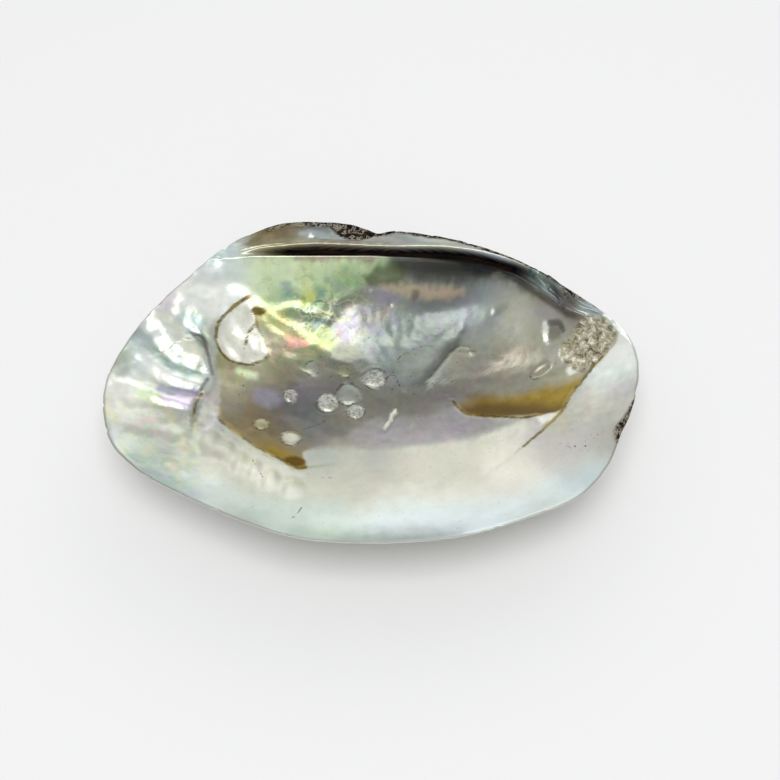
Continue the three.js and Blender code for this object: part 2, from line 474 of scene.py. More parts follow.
RIDGES: tuple[Ridge, ...] = (
    Ridge(((19.5, 8), (24.5, 14.5), (28.5, 19.5), (31, 21.5), (33, 21), (34.5, 19)), 0.35, 1.6),
    Ridge(((12, 8), (18, 14.5), (24, 21), (29, 25)), -0.5, 5.0),
    Ridge(((4, -10.5), (5.5, -7.5), (7.2, -3.5)), 0.45, 1.3),
    Ridge(((55.5, 7.8), (57.5, 10.6), (61, 12), (62, 10.8), (59.5, 8.4), (55.5, 7.8)), 0.3, 0.8),
    Ridge(((50, 38.5), (48.5, 37.8), (48.5, 36), (50, 35.3)), 0.4, 1.1),
    Ridge(((56, 40.5), (60, 38.5), (64, 34.5), (66, 31)), 1.5, 1.6),
    Ridge(((61.5, 37.5), (65.5, 34), (68.5, 30.5)), 0.9, 0.9),
    Ridge(((62, 33.5), (65.5, 29.5), (65, 27)), -1.0, 1.5),
    Ridge(((68.5, 28.5), (72, 25.5), (77, 23.5), (82, 20)), 1.3, 1.7),
    Ridge(((70, 31), (74, 27.5), (79, 24.5)), 0.7, 1.0),
    Ridge(((-82, 17), (-76, 13), (-70, 9), (-65, 6.5), (-60.5, 6)), -0.9, 5.5),
    Ridge(((-77, 25), (-71, 19), (-67, 14), (-61.5, 11)), 0.8, 5.5),
    Ridge(((-80, 10), (-75, 7), (-70, 3.5), (-62, 2.5)), 0.5, 4.5),
    Ridge(((-84, -1), (-76, -1), (-68, -1.8), (-61.5, -1.5)), -0.5, 3.6),
    Ridge(((-73, -6), (-67, -7), (-63, -7.5)), 0.6, 3.2),
    Ridge(((-67, 22), (-63, 20), (-60, 19.5)), -0.6, 3.0),
    Ridge(((-75, 33), (-64, 29), (-57, 25)), 0.7, 4.5),
    Ridge(((-67, 37), (-60, 36), (-53, 38)), -0.6, 4.0),
    Ridge(((-62, 43), (-56, 43), (-48, 44)), 0.6, 3.5),
    Ridge(((-12, 44), (-5, 41), (-9, 37.5), (-14, 35), (-16.5, 30)), 0.22, 2.4),
    Ridge(((-36, 43), (-33, 38), (-30, 40), (-26, 38), (-27, 33)), 0.3, 2.4),
    Ridge(((-38, 30), (-34, 27), (-29, 25)), 0.3, 2.5),
    Ridge(((-31, 34), (-26, 33.5), (-23, 31), (-23.5, 28)), 0.35, 2.2),
    Ridge(((8, 44), (2, 42.5), (-2, 44)), -0.8, 3.0),
    Ridge(((-58.5, -16), (-58.3, -23), (-59.5, -31)), -0.24, 3.0),
    Ridge(((-52, -17), (-52, -24), (-53.8, -33)), -0.28, 3.0),
    Ridge(((-46.8, -20), (-46.8, -27), (-48.5, -35)), -0.26, 2.8),
    Ridge(((-42, -24), (-41.8, -30), (-43, -37)), -0.24, 2.7),
    Ridge(((-37, -28), (-36.8, -34), (-38, -41)), -0.22, 2.7),
    Ridge(((-30.5, -31), (-30.2, -37), (-31, -43)), -0.18, 2.7),
)
FOLD: Points = (
    (-64.5, 17.5), (-61.5, 19.6), (-59.6, 18.5), (-58, 14), (-57, 10), (-56, 6),
    (-56.8, 1), (-59.2, -2), (-60.6, -6), (-61.2, -11.8),
)
FRONT_STEP: Points = (
    (79.5, 10.5), (75.5, 6.5), (73.5, 4), (68.5, -2), (64, -9.5), (58.5, -15), (51, -21.5),
)
SLASH: Points = ((33.5, 20.5), (31, 21.5), (28.5, 19.5), (24.5, 14.5), (19.5, 8))
STAIN_EDGE: Points = ((28, 0.2), (30.5, -3), (33.5, -5.5), (44, -7.5), (51.5, -9), (58, -8.6))
REAR_SCAR: Points = (
    (-44, 37), (-47.5, 34.5), (-51.5, 30), (-54.5, 25.5), (-55.5, 20.5), (-54.5, 16.5),
    (-52, 13.5), (-48.5, 12), (-43.5, 12), (-39.5, 14), (-37.5, 16.5), (-38, 19.5),
    (-39.5, 23), (-41.5, 26), (-42, 29.5), (-43, 33.5),
)
FRONT_SCAR: Points = (
    (73.5, 22.5), (79, 21.5), (83, 17.5), (83.5, 14), (80.5, 10.5), (77, 8), (74, 6.2),
    (70.5, 7.5), (67.5, 11), (66, 16), (69, 18.5), (71, 20.5),
)
WEAR_LINE: Points = (
    (-55.5, 3), (-55, -4.5), (-52.5, -11), (-46, -16), (-38.5, -21.3), (-30.5, -26),
    (-25.5, -29), (-22.5, -28.5),
)
INNER_ZONE: Points = (
    (-56.5, 10.5), (-55.5, 3), (-55, -4.5), (-52.5, -11), (-46, -16), (-38.5, -21.3),
    (-30.5, -26), (-25.5, -29), (-22.5, -28), (-24, -22), (-18, -19.5), (-9.5, -19),
    (2.5, -19), (16, -17.5), (33.5, -15.2), (43.5, -12.5), (50.5, -10.8), (59, -10),
    (64, -9.5), (68.5, -2), (73.5, 4), (78.5, 9.5), (84, 14), (80, 30), (60, 60),
    (-20, 70), (-47, 52), (-49, 42), (-44, 36), (-50, 24),
)
SKIN_PATCH: Points = (
    (-20, 66), (-10.5, 66), (-4.5, 64), (1, 60), (1, 57.5), (-3, 55), (-8.5, 55), (-13, 57), (-16.5, 61.5),
)
FRONT_SKIN: Points = ((87, -11), (92, -14), (88, -22), (81, -29), (80, -21.5), (83.5, -17))


@dataclass
class Relief:
    """Everything that stands above or below the even surface of the shell."""

    plan: Plan
    ripple: Ripple = field(default_factory=lambda: Ripple(7))
    groove_depth: float = 2.6
    crest_height: float = 1.2
    twin_height: float = 0.7
    growth_lines: float = 58.0

    def hinge(self, x: Array, y: Array) -> Array:
        """The two long hinge ridges with the groove between them.

        Args:
            x: the places' X.
            y: the places' Y.

        Returns:
            Heights above the hinge plate.
        """
        above = self.plan.above(x, y)
        top = self.groove_top(x)
        low = 0.7 * np.exp(-(((above - 0.4) / 0.5) ** 2)) * smooth(-50, -42, x) * smooth(8, -2, x)
        groove = smooth(0.7, 1.7, above) * smooth(top, top - 1.0, above)
        depth = self.groove_depth * smooth(-47, -30, x) * smooth(62, 48, x)
        crest = self.crest_height * np.exp(-(((above - top - 0.5) / 0.6) ** 2))
        crest = crest * smooth(-50, -40, x) * smooth(62, 54, x)
        twin = self.twin_height * np.exp(-(((above - top - 1.9) / 0.45) ** 2))
        twin = twin * smooth(-50, -44, x) * smooth(10, 4, x)
        slope = 0.1 * np.maximum(0, above - top - 2.5)
        return low - depth * groove + crest + twin - np.minimum(slope, 1.0)

    @staticmethod
    def groove_top(x: Array) -> Array:
        """How far above the hinge line the groove's upper side lies."""
        along = (-50, -40, -28, -20, -10, 0, 8, 25, 40, 50, 60)
        return np.interp(x, along, (1, 3.4, 5, 5.5, 5, 4.4, 4.3, 5.2, 4.7, 4.3, 3))

    def inside(self, x: Array, y: Array) -> Array:
        """Everything that stands above the even hollow.

        Args:
            x: the places' X.
            y: the places' Y.

        Returns:
            Heights, less than 0 for what lies below it.
        """
        ripple = self.ripple
        above = self.plan.above(x, y)
        bowl = smooth(0.5, -4, above)
        total = self.hinge(x, y)
        for shape in (*PEARLS, *BUMPS, *RIDGES):
            total = total + shape.rise(x, y)
        total = total + Step(tuple(reversed(FOLD)), 1.1, 7).rise(x, y)
        total = total + Step(FRONT_STEP, 0.5, 6).rise(x, y)
        total = total + Step(SLASH, 0.7, 6).rise(x, y)
        total = total + Step(STAIN_EDGE, -0.4, 6).rise(x, y)
        total = total - Step(WEAR_LINE, 0.5, 8).rise(x, y)
        rear = smooth(-50, -66, x)
        fringe = smooth(12, 2, distance(x, y, through(self.plan.outline[1:6]))[0])
        zone = swell(x, y, (-24, 30), 26, 20)
        wave = ripple(x + 0.6 * y, y - 0.3 * x, 13)
        folds = 1 - np.abs(ripple(x + 40, y, 6.5)) * 2
        total = total + bowl * (0.6 * rear * wave + 0.27 * (zone + 0.5 * rear) * folds)
        total = total + fringe * 0.45 * ripple(x + 0.4 * y, y - 0.4 * x, 4.5)
        calm = 0.35 + 0.65 * smooth(-30, -16, y)
        uneven = 0.28 * ripple(x, y, 17) + 0.1 * ripple(x, y, 6) + 0.04 * ripple(x, y, 2.6)
        total = total + bowl * calm * uneven
        scar = inside_ring(x, y, REAR_SCAR)
        total = total + smooth(-0.6, 0.8, scar) * (0.35 * ripple(x, y, 5) - 0.25)
        rough = inside_ring(x, y, FRONT_SCAR)
        grain = 0.35 * ripple(x, y, 2.6) + 0.22 * ripple(x + 9, y, 1.5)
        total = total + smooth(-0.6, 0.8, rough) * (grain - 0.8)
        flakes = smooth(-0.6, 0.8, inside_ring(x, y, SKIN_PATCH))
        total = total + flakes * (0.5 * ripple(x, y, 3) - 0.6)
        wing = smooth(7, 10, above) * (1 - flakes)
        return total + wing * 0.35 * ripple(x, y, 8)

    def outside(self, x: Array, y: Array, loop: Array) -> Array:
        """Heights that the growth lines and the wear give the dome. More is further out."""
        line = np.sin(self.growth_lines * loop**1.6 + 1.5 * self.ripple(x, y, 30))
        return 0.07 * line * smooth(0.35, 0.6, loop) + 0.12 * self.ripple(x, y, 12)

    def edge(self, x: Array, y: Array) -> Array:
        """How far the worn edge stands in or out."""
        chip = smooth(0.45, 0.8, self.ripple(x + 3, y + 50, 3.2))
        return 0.16 * self.ripple(x, y, 5) - 0.35 * chip


# -------------------------------------------------------------------------------------------- colours


def hue(code: str) -> Array:
    """A screen colour written as six hexadecimal digits, as light."""
    value = np.array([int(code[i : i + 2], 16) / 255 for i in (0, 2, 4)])
    return np.where(value <= 0.04045, value / 12.92, ((value + 0.055) / 1.055) ** 2.4)


class Tone(Enum):
    """The shades of the mother of pearl, its stains and its scars, and the tones of the painted shade and
    highlights on it.
    """

    WHITE = "f6f7ef"
    MILK = "e2ede7"
    SHELL = "c4cdc5"
    PEARL = "bfbab4"
    CREAM = "dedaca"
    BONE = "bfbcac"
    SAND = "adaa9c"
    ASH = "999b92"
    MIST = "a2aba7"
    FROST = "c0cccd"
    AQUA = "f3fdff"
    SKY = "c3cbe2"
    VIOLET = "ead9ef"
    LAVENDER = "989193"
    LILAC = "938b9e"
    MAUVE = "a3989c"
    PLUM = "766d78"
    STEEL = "8a8f90"
    SLATE = "757b79"
    GRAPHITE = "5a5d5b"
    STONE = "8b867b"
    TAUPE = "726c63"
    BARK = "625a57"
    UMBER = "75664c"
    EARTH = "6b5a3c"
    OLIVE = "8d8663"
    MOSS = "7f8768"
    FOREST = "5f6649"
    TAN = "b0a98a"
    PEACH = "d6bb9a"
    ROSE = "ab988f"
    CORAL = "efa59d"
    LIME = "e4f4c6"
    SPRING = "c3dba6"
    LEAF = "a1b890"
    TEAL = "84a098"
    SEA = "6b7f80"
    LEMON = "d9d48f"
    CITRUS = "d2d67c"
    OCHRE = "8d7c4a"
    # Dark spots and skin, and painted shade under the hinge, beside the slash and under the front teeth.
    SOOT = "43403e"
    # Painted shade: the deepest shadow under the hinge.
    COAL = "1c1b20"


T = Tone


@dataclass(frozen=True)
class Row:
    """Tones side by side across the shell, at one Y."""

    y: float
    start: float
    tones: str
    step: float = 7.0

    def dabs(self) -> Iterable[tuple[float, float, Tone]]:
        """Each tone with its middle. A word such as LIME*3 stands for three of that tone."""
        words = (word.partition("*") for word in self.tones.split())
        run = [Tone[name] for name, _, count in words for _ in range(int(count or 1))]
        return ((self.start + i * self.step, self.y, tone) for i, tone in enumerate(run))


# The inner tones are painted darker than the margin: partly the nacre's own colour, partly a painted
# reflection of the darker room. The darkest tones at the right ends of the top three rows are painted shade
# on the wall under the hinge and its beak.
INNER_ROWS: tuple[Row, ...] = (
    Row(45, -47, "MILK LIME*5 SPRING*2 STONE*3 TAUPE SOOT COAL*2 SOOT"),
    Row(38, -42, "LIME SPRING*3 MOSS*2 TAUPE ASH SLATE*3 STEEL MIST SAND SOOT COAL"),
    Row(31, -42, "UMBER OLIVE MOSS SEA BARK*2 PLUM STEEL SLATE GRAPHITE SLATE STEEL*2 BONE*2 GRAPHITE SOOT"),
    Row(24, -42, "BONE TAN PEACH MOSS STONE*2 STEEL SLATE*2 STEEL GRAPHITE ASH*2 BONE*2 SAND STONE"),
    Row(17, -42, "BONE OLIVE MOSS*2 TAUPE GRAPHITE SOOT STEEL ASH*2 SAND STONE*4 SAND*2"),
    Row(10, -49, "OLIVE TAN OLIVE TAUPE STONE TAUPE*2 ASH SLATE*2 STEEL TAUPE*3 STONE*3 SAND"),
    Row(3, -49, "TAN STONE TAUPE BARK GRAPHITE BARK TAUPE BARK TAUPE*2 BARK*2 STONE*4 TAN*2"),
    Row(-4, -49, "STONE UMBER BARK GRAPHITE*2 TAUPE STONE TAUPE*3 STONE LAVENDER STONE*4 TAN*2"),
    Row(-11, -49, "UMBER*2 EARTH BARK GRAPHITE BARK TAUPE*2 STONE*3 LAVENDER*2 SAND*2 PEARL"),
    Row(-18, -42, "EARTH*2 UMBER BARK STONE*4 LAVENDER*3 SAND BONE CREAM"),
    Row(-26, -34, "EARTH*2 OCHRE ASH*4 SAND*2"),
)
MARGIN_ROWS: tuple[Row, ...] = (
    Row(50, -56, "FROST*3 LEAF"),
    Row(44, -60, "FROST MILK*2 FROST"),
    Row(38, -66, "WHITE*3 MILK*2"),
    Row(31, -72, "WHITE*3 MILK PEARL"),
    Row(24, -77, "WHITE BONE MILK SAND"),
    Row(24, 74, "FROST*2"),
    Row(17, -82, "SHELL WHITE MILK ASH SAND"),
    Row(15, 77, "PEARL WHITE"),
    Row(10, -84, "SHELL MILK BONE WHITE MIST"),
    Row(8, 77, "WHITE*2"),
    Row(3, -87, "BONE MILK CREAM MILK SHELL SAND"),
    Row(2, 70, "PEARL MILK*2"),
    Row(-4, -88, "WHITE*2 SAND LILAC BONE STONE"),
    Row(-4, 70, "PEARL CREAM PEARL"),
    Row(-11, -88, "CREAM*2 BONE SAND STONE STEEL"),
    Row(-11, 63, "TAN PEARL*3"),
    Row(-18, -88, "BONE*2 SAND BONE*2 SAND ASH SAND*2"),
    Row(-18, 35, "BONE CREAM*2 PEARL*3 SAND"),
    Row(-26, -84, "SHELL BONE ASH SAND*3 BONE SAND*2 ASH*2 SAND ASH SAND BONE*4 CREAM*2 PEARL*3 SAND"),
    Row(-33, -77, "MIST ASH BONE CREAM BONE*2 CREAM BONE SAND*5 BONE*4 CREAM*3 PEARL SHELL"),
    Row(-40, -70, "MIST*2 SHELL*2 BONE*7 CREAM*7 MILK FROST*2"),
    Row(-47, -58, "MIST SHELL*7 CREAM MILK*6 AQUA MILK*2"),
    Row(-54, -44, "ASH MIST SHELL*2 MILK*2 AQUA*7 MILK"),
    Row(-61, -25, "MIST*8"),
)
# Row 47's darkest run is painted shade under the hinge crest, and the darkest tones of the short rows at the
# front are painted shade beneath the front teeth.
PLATE_ROWS: tuple[Row, ...] = (
    Row(61, -40, "FOREST EARTH SLATE GRAPHITE SOOT TAUPE SOOT", 6),
    Row(57, -46, "OLIVE EARTH*3 SEA STEEL SLATE SAND LAVENDER*2 STEEL SAND", 6),
    Row(54, -52, "FROST OLIVE EARTH*3 OLIVE TAUPE STONE*3 SLATE STEEL*2 ASH STEEL SLATE", 6),
    Row(51, -52, "FROST*2 TAN OLIVE*2 TAUPE EARTH*3 STONE*2 SAND ASH BONE PEARL SKY STEEL", 6),
    Row(47, -52, "FROST PEARL TAN*2 BONE ROSE*2 TAUPE*2 SOOT*4 COAL*2 STEEL SKY GRAPHITE", 6),
    Row(40, 54, "SOOT TEAL FROST", 4),
    Row(36, 58, "GRAPHITE SEA SOOT", 4),
    Row(32, 62, "STEEL TAUPE SOOT", 4),
    Row(28, 66, "SOOT TAUPE MIST TEAL", 4),
    Row(24, 70, "TAUPE MIST FROST MILK", 4),
    Row(19, 78, "SHELL MILK WHITE", 4),
)


def oval(x: float, y: float, wide: float, high: float, lean: float = 0.0) -> Points:
    """Eight points round an oval, with its half sizes and its lean in degrees."""
    c, d = math.cos(math.radians(lean)), math.sin(math.radians(lean))
    turns = [math.pi / 4 * i for i in range(8)]
    flat = [(wide * math.cos(t), high * math.sin(t)) for t in turns]
    return tuple((x + u * c - v * d, y + u * d + v * c) for u, v in flat)


@dataclass(frozen=True)
class Patch:
    """A patch of one tone, with a crisp or a soft boundary."""

    ring: Points
    tone: Tone
    share: float = 0.8
    soft: float = 1.0

    def cover(self, x: Array, y: Array) -> Array:
        """How much of the patch's tone each place takes."""
        return self.share * smooth(-self.soft, self.soft, inside_ring(x, y, self.ring, 6))


PATCHES: tuple[Patch, ...] = (
    # Painted shade in the rear furrow: a grey band with a sea-green core.
    Patch(((-83, 18), (-76, 16), (-70, 11.5), (-64, 9), (-60, 9.5), (-59.5, 5), (-64, 3.5), (-71, 5),
           (-77, 9), (-83, 13)), T.MIST, 0.7, 1.3),
    Patch(((-76, 13), (-70, 8), (-64, 6), (-60, 6.5), (-64, 4.5), (-71, 6)), T.SEA, 0.6, 1.0),
    # Painted highlight on the rear ridge above the furrow.
    Patch(((-79, 27), (-72, 22), (-68, 16), (-63, 11.5), (-60.5, 10), (-61, 14), (-64, 18), (-69, 22),
           (-74, 28)), T.CREAM, 0.8, 1.2),
    # Painted shade at the top of the fold.
    Patch(((-66, 19.5), (-62, 20.5), (-59, 19), (-57.5, 13), (-59, 14), (-62, 17.8)), T.GRAPHITE, 0.85, 0.8),
    Patch(((-68, 24), (-62, 22.5), (-59, 24), (-62, 26), (-67, 27)), T.TEAL, 0.5, 1.5),
    # Painted highlight on the low ridge below the furrow.
    Patch(((-79, 11), (-74, 7.5), (-68, 3.5), (-61, 3), (-61, 0.5), (-69, 0), (-76, 3)), T.WHITE, 0.6, 1.2),
    Patch(((-74, -1), (-66, -1), (-60.5, -0.5), (-60.5, -3.5), (-68, -4), (-73, -3.5)), T.LILAC, 0.9, 0.8),
    Patch(((-72, -5), (-66, -4.5), (-62.5, -5), (-62.5, -9), (-67, -9.5), (-71, -8)), T.VIOLET, 0.9, 1.0),
    Patch(oval(-76, -6, 4, 2.5, -10), T.LIME, 0.8, 1.5),
    Patch(oval(-85, 3, 3, 4), T.MOSS, 0.35, 2.0),
    Patch(((-59.5, 17), (-57.5, 12), (-56, 6), (-56, 0), (-58.5, -4), (-59.8, -12), (-56, -16), (-53, -9),
           (-53.2, 0), (-54.3, 8), (-57, 15)), T.PEARL, 0.8, 0.8),
    Patch(oval(-54, 34, 6, 4, 40), T.WHITE, 0.6, 3.0),
    Patch(oval(-73, 29, 5, 3, 50), T.VIOLET, 0.6, 2.0),
    Patch(oval(-80, 21, 3, 2, 45), T.VIOLET, 0.5, 1.5),
    Patch(((-29, 48), (-1, 48), (0, 46), (-14, 45.8), (-27, 46.0)), T.ROSE, 0.75, 0.5),
    Patch(((-43, 45), (-30, 46), (-27, 43), (-33, 42), (-42, 42)), T.LIME, 0.7, 1.5),
    # A dark green patch: the nacre's green, darkened with painted shade under the middle of the hinge.
    Patch(((-4, 43.5), (2, 45.2), (11, 46), (11, 42.5), (4, 40.5), (-2, 41)), T.FOREST, 0.85, 1.0),
    Patch(((-12, 45), (-4, 43), (-5, 40), (-10, 37.5), (-15, 37), (-16, 41)), T.LEAF, 0.7, 1.0),
    Patch(((-23, 33.5), (-20, 34.5), (-17.5, 32), (-18, 28.5), (-21, 28), (-23.5, 30)), T.SEA, 0.85, 0.8),
    Patch(((-33, 41), (-29.5, 40.5), (-29, 36.5), (-33, 36)), T.TEAL, 0.7, 0.8),
    Patch(oval(-19.5, 38, 2.2, 2.2), T.TEAL, 0.7, 1.0),
    Patch(oval(-24, 36.5, 3.4, 2.2, 20), T.CITRUS, 0.75, 1.0),
    Patch(oval(-33, 31, 2.2, 2.0), T.FOREST, 0.5, 1.0),
    Patch(((-41, 33.5), (-34, 33), (-29.5, 28), (-31, 25), (-36, 25), (-39.5, 28)), T.LEMON, 0.45, 1.6),
    Patch(((-31, 24.8), (-25, 24), (-24, 21.5), (-30, 21)), T.CORAL, 0.85, 0.8),
    Patch(((-25, 27), (-15, 27.5), (-12, 24), (-15, 21.5), (-22, 22.5)), T.CITRUS, 0.35, 1.6),
    Patch(oval(-6, 34, 11, 5), T.GRAPHITE, 0.4, 3.5),
    Patch(oval(-19, 27, 5, 4), T.MOSS, 0.5, 3.0),
    Patch(oval(38, 0.5, 6, 2.8, -8), T.EARTH, 0.75, 2.0),
    Patch(((-26.5, 30), (-23, 29.5), (-20.5, 27), (-23, 26.5)), T.FOREST, 0.8, 0.5),
    Patch(((-16, 35), (-8, 36), (-1, 40.5), (8, 39.5), (9, 35), (2, 31), (-8, 30), (-14, 30)),
          T.MAUVE, 0.45, 2.0),
    Patch(((-2, 40), (10, 40), (10, 36.5), (0, 36.5)), T.LILAC, 0.5, 2.0),
    Patch(((-9, 35), (-6.5, 35), (-5.5, 24), (-12, 23.5), (-15, 27)), T.VIOLET, 0.25, 2.0),
    Patch(((2, 41.5), (14, 42), (26, 41), (33, 39), (26, 38.5), (12, 39)), T.PEACH, 0.6, 1.2),
    # Painted shade under the hinge.
    Patch(((10, 46), (34, 45), (40, 43), (34, 40.5), (22, 42), (12, 42.5)), T.GRAPHITE, 0.7, 1.8),
    Patch(oval(-44.5, 8.3, 4, 1.6, -10), T.LIME, 0.7, 1.0),
    Patch(oval(-37, 0, 5, 3.6), T.LILAC, 0.7, 2.0),
    Patch(oval(-24, 3, 6, 4), T.PLUM, 0.4, 3.0),
    # Painted shade on the low side of the slash, and a painted highlight along its crest.
    Patch(((13, 7), (20, 15.5), (26, 23), (31, 25.5), (29.5, 21.5), (24, 14), (19, 7.5)), T.SOOT, 0.6, 1.5),
    Patch(((19, 8.6), (24, 15.2), (28, 20.4), (31, 22.2), (33.5, 21.8), (34.6, 20), (33, 20.3), (31, 20.9),
           (28.8, 18.8), (25, 13.5), (20.6, 7.2)), T.BONE, 0.6, 0.5),
    Patch(((-1, -7), (10, -5.5), (24, -4.5), (28.5, -2), (32, -6.5), (44, -9.5), (50, -10.5), (43, -12.8),
           (30, -15.8), (10, -18), (-4, -18.5), (-8, -13)), T.LAVENDER, 0.7, 1.8),
    Patch(((56, -9.4), (60, -8.2), (64.5, -8.5), (62, -11), (58, -13)), T.WHITE, 0.7, 0.6),
    Patch(((3.5, -10.5), (4.5, -10.8), (8, -3.8), (7, -3.0)), T.CREAM, 0.85, 0.4),
    Patch(oval(61, 26.5, 4.0, 3.0), T.MAUVE, 0.7, 2.0),
    # Painted highlight on the left edge of the front scar.
    Patch(oval(60.7, 21, 0.9, 2.2, 10), T.WHITE, 0.9, 0.5),
    Patch(oval(63.8, 20, 2.4, 2.0), T.TAUPE, 0.7, 0.6),
    # Painted highlights on the front bumps.
    Patch(oval(84, 9, 3.4, 3.8), T.WHITE, 0.9, 1.0),
    Patch(oval(87.3, 4, 1.2, 3), T.WHITE, 0.9, 0.8),
    # Painted shade on the wall under the hinge and in the beak's hollow, darkest under the crest, and
    # between the front teeth.
    Patch(((4, 48), (24, 47), (38, 45), (50, 40.5), (57, 34.5), (54, 34), (46, 38), (36, 40.5), (24, 42.5),
           (12, 43.5)), T.SOOT, 0.75, 1.6),
    Patch(((28, 48), (38, 46), (50, 41), (56, 35.5), (52, 37.5), (44, 40.5), (34, 43)), T.COAL, 0.9, 1.2),
    Patch(((54, 36), (60, 31), (67, 25), (64, 25.5), (58, 29), (52, 34)), T.TAUPE, 0.7, 1.2),
    Patch(((64, 27.5), (70, 24), (77, 22), (72, 22), (66, 24)), T.BARK, 0.7, 0.8),
    Patch(oval(70.5, 8.5, 3.4, 2.0, 30), T.WHITE, 0.9, 0.7),
    Patch(oval(44.5, 39.7, 2.6, 0.9, -15), T.SAND, 0.7, 0.6),
    Patch(oval(46, 30.5, 2.2, 1.5), T.SLATE, 0.5, 1.0),
    Patch(oval(31, 28.5, 1.8, 1.8), T.GRAPHITE, 0.6, 1.0),
    Patch(oval(15, 39.3, 1.5, 1.3), T.SOOT, 0.6, 0.8),
    Patch(((-47, 52), (-43, 56), (-36, 59.5), (-28, 61.5), (-25, 60), (-30, 57), (-37, 54), (-42, 51)),
          T.EARTH, 0.85, 1.2),
    Patch(((-22.5, 59.5), (-14, 57), (-10, 55), (-20, 55), (-27, 57)), T.STEEL, 0.8, 0.8),
    Patch(oval(-23, 58.7, 1.3, 0.9), T.LILAC, 0.9, 0.5),
    Patch(oval(-22.6, 56.2, 1.0, 0.8), T.WHITE, 0.95, 0.4),
)
PEARL_TONES: tuple[tuple[Tone, float], ...] = (
    (T.BONE, 0.7), (T.ASH, 0.6), (T.SAND, 0.6), (T.SAND, 0.6), (T.SAND, 0.5), (T.TAN, 0.6),
    (T.BONE, 0.8), (T.OLIVE, 0.5), (T.ASH, 0.5),
)


def run_together(x: Array, y: Array, rows: Iterable[Row]) -> Array:
    """Lets tones run into each other.

    Args:
        x: the places' X.
        y: the places' Y.
        rows: the rows of tones.

    Returns:
        One colour for each place, as rows of red, green and blue.
    """
    total = np.zeros((x.size, 3))
    weight = np.zeros(x.size)
    for row in rows:
        for cx, cy, tone in row.dabs():
            near = np.exp(-(((x - cx) / row.step) ** 2 + ((y - cy) / row.step) ** 2) * 1.5) + 1e-9
            total += near[:, None] * hue(tone.value)
            weight += near
    return total / weight[:, None]


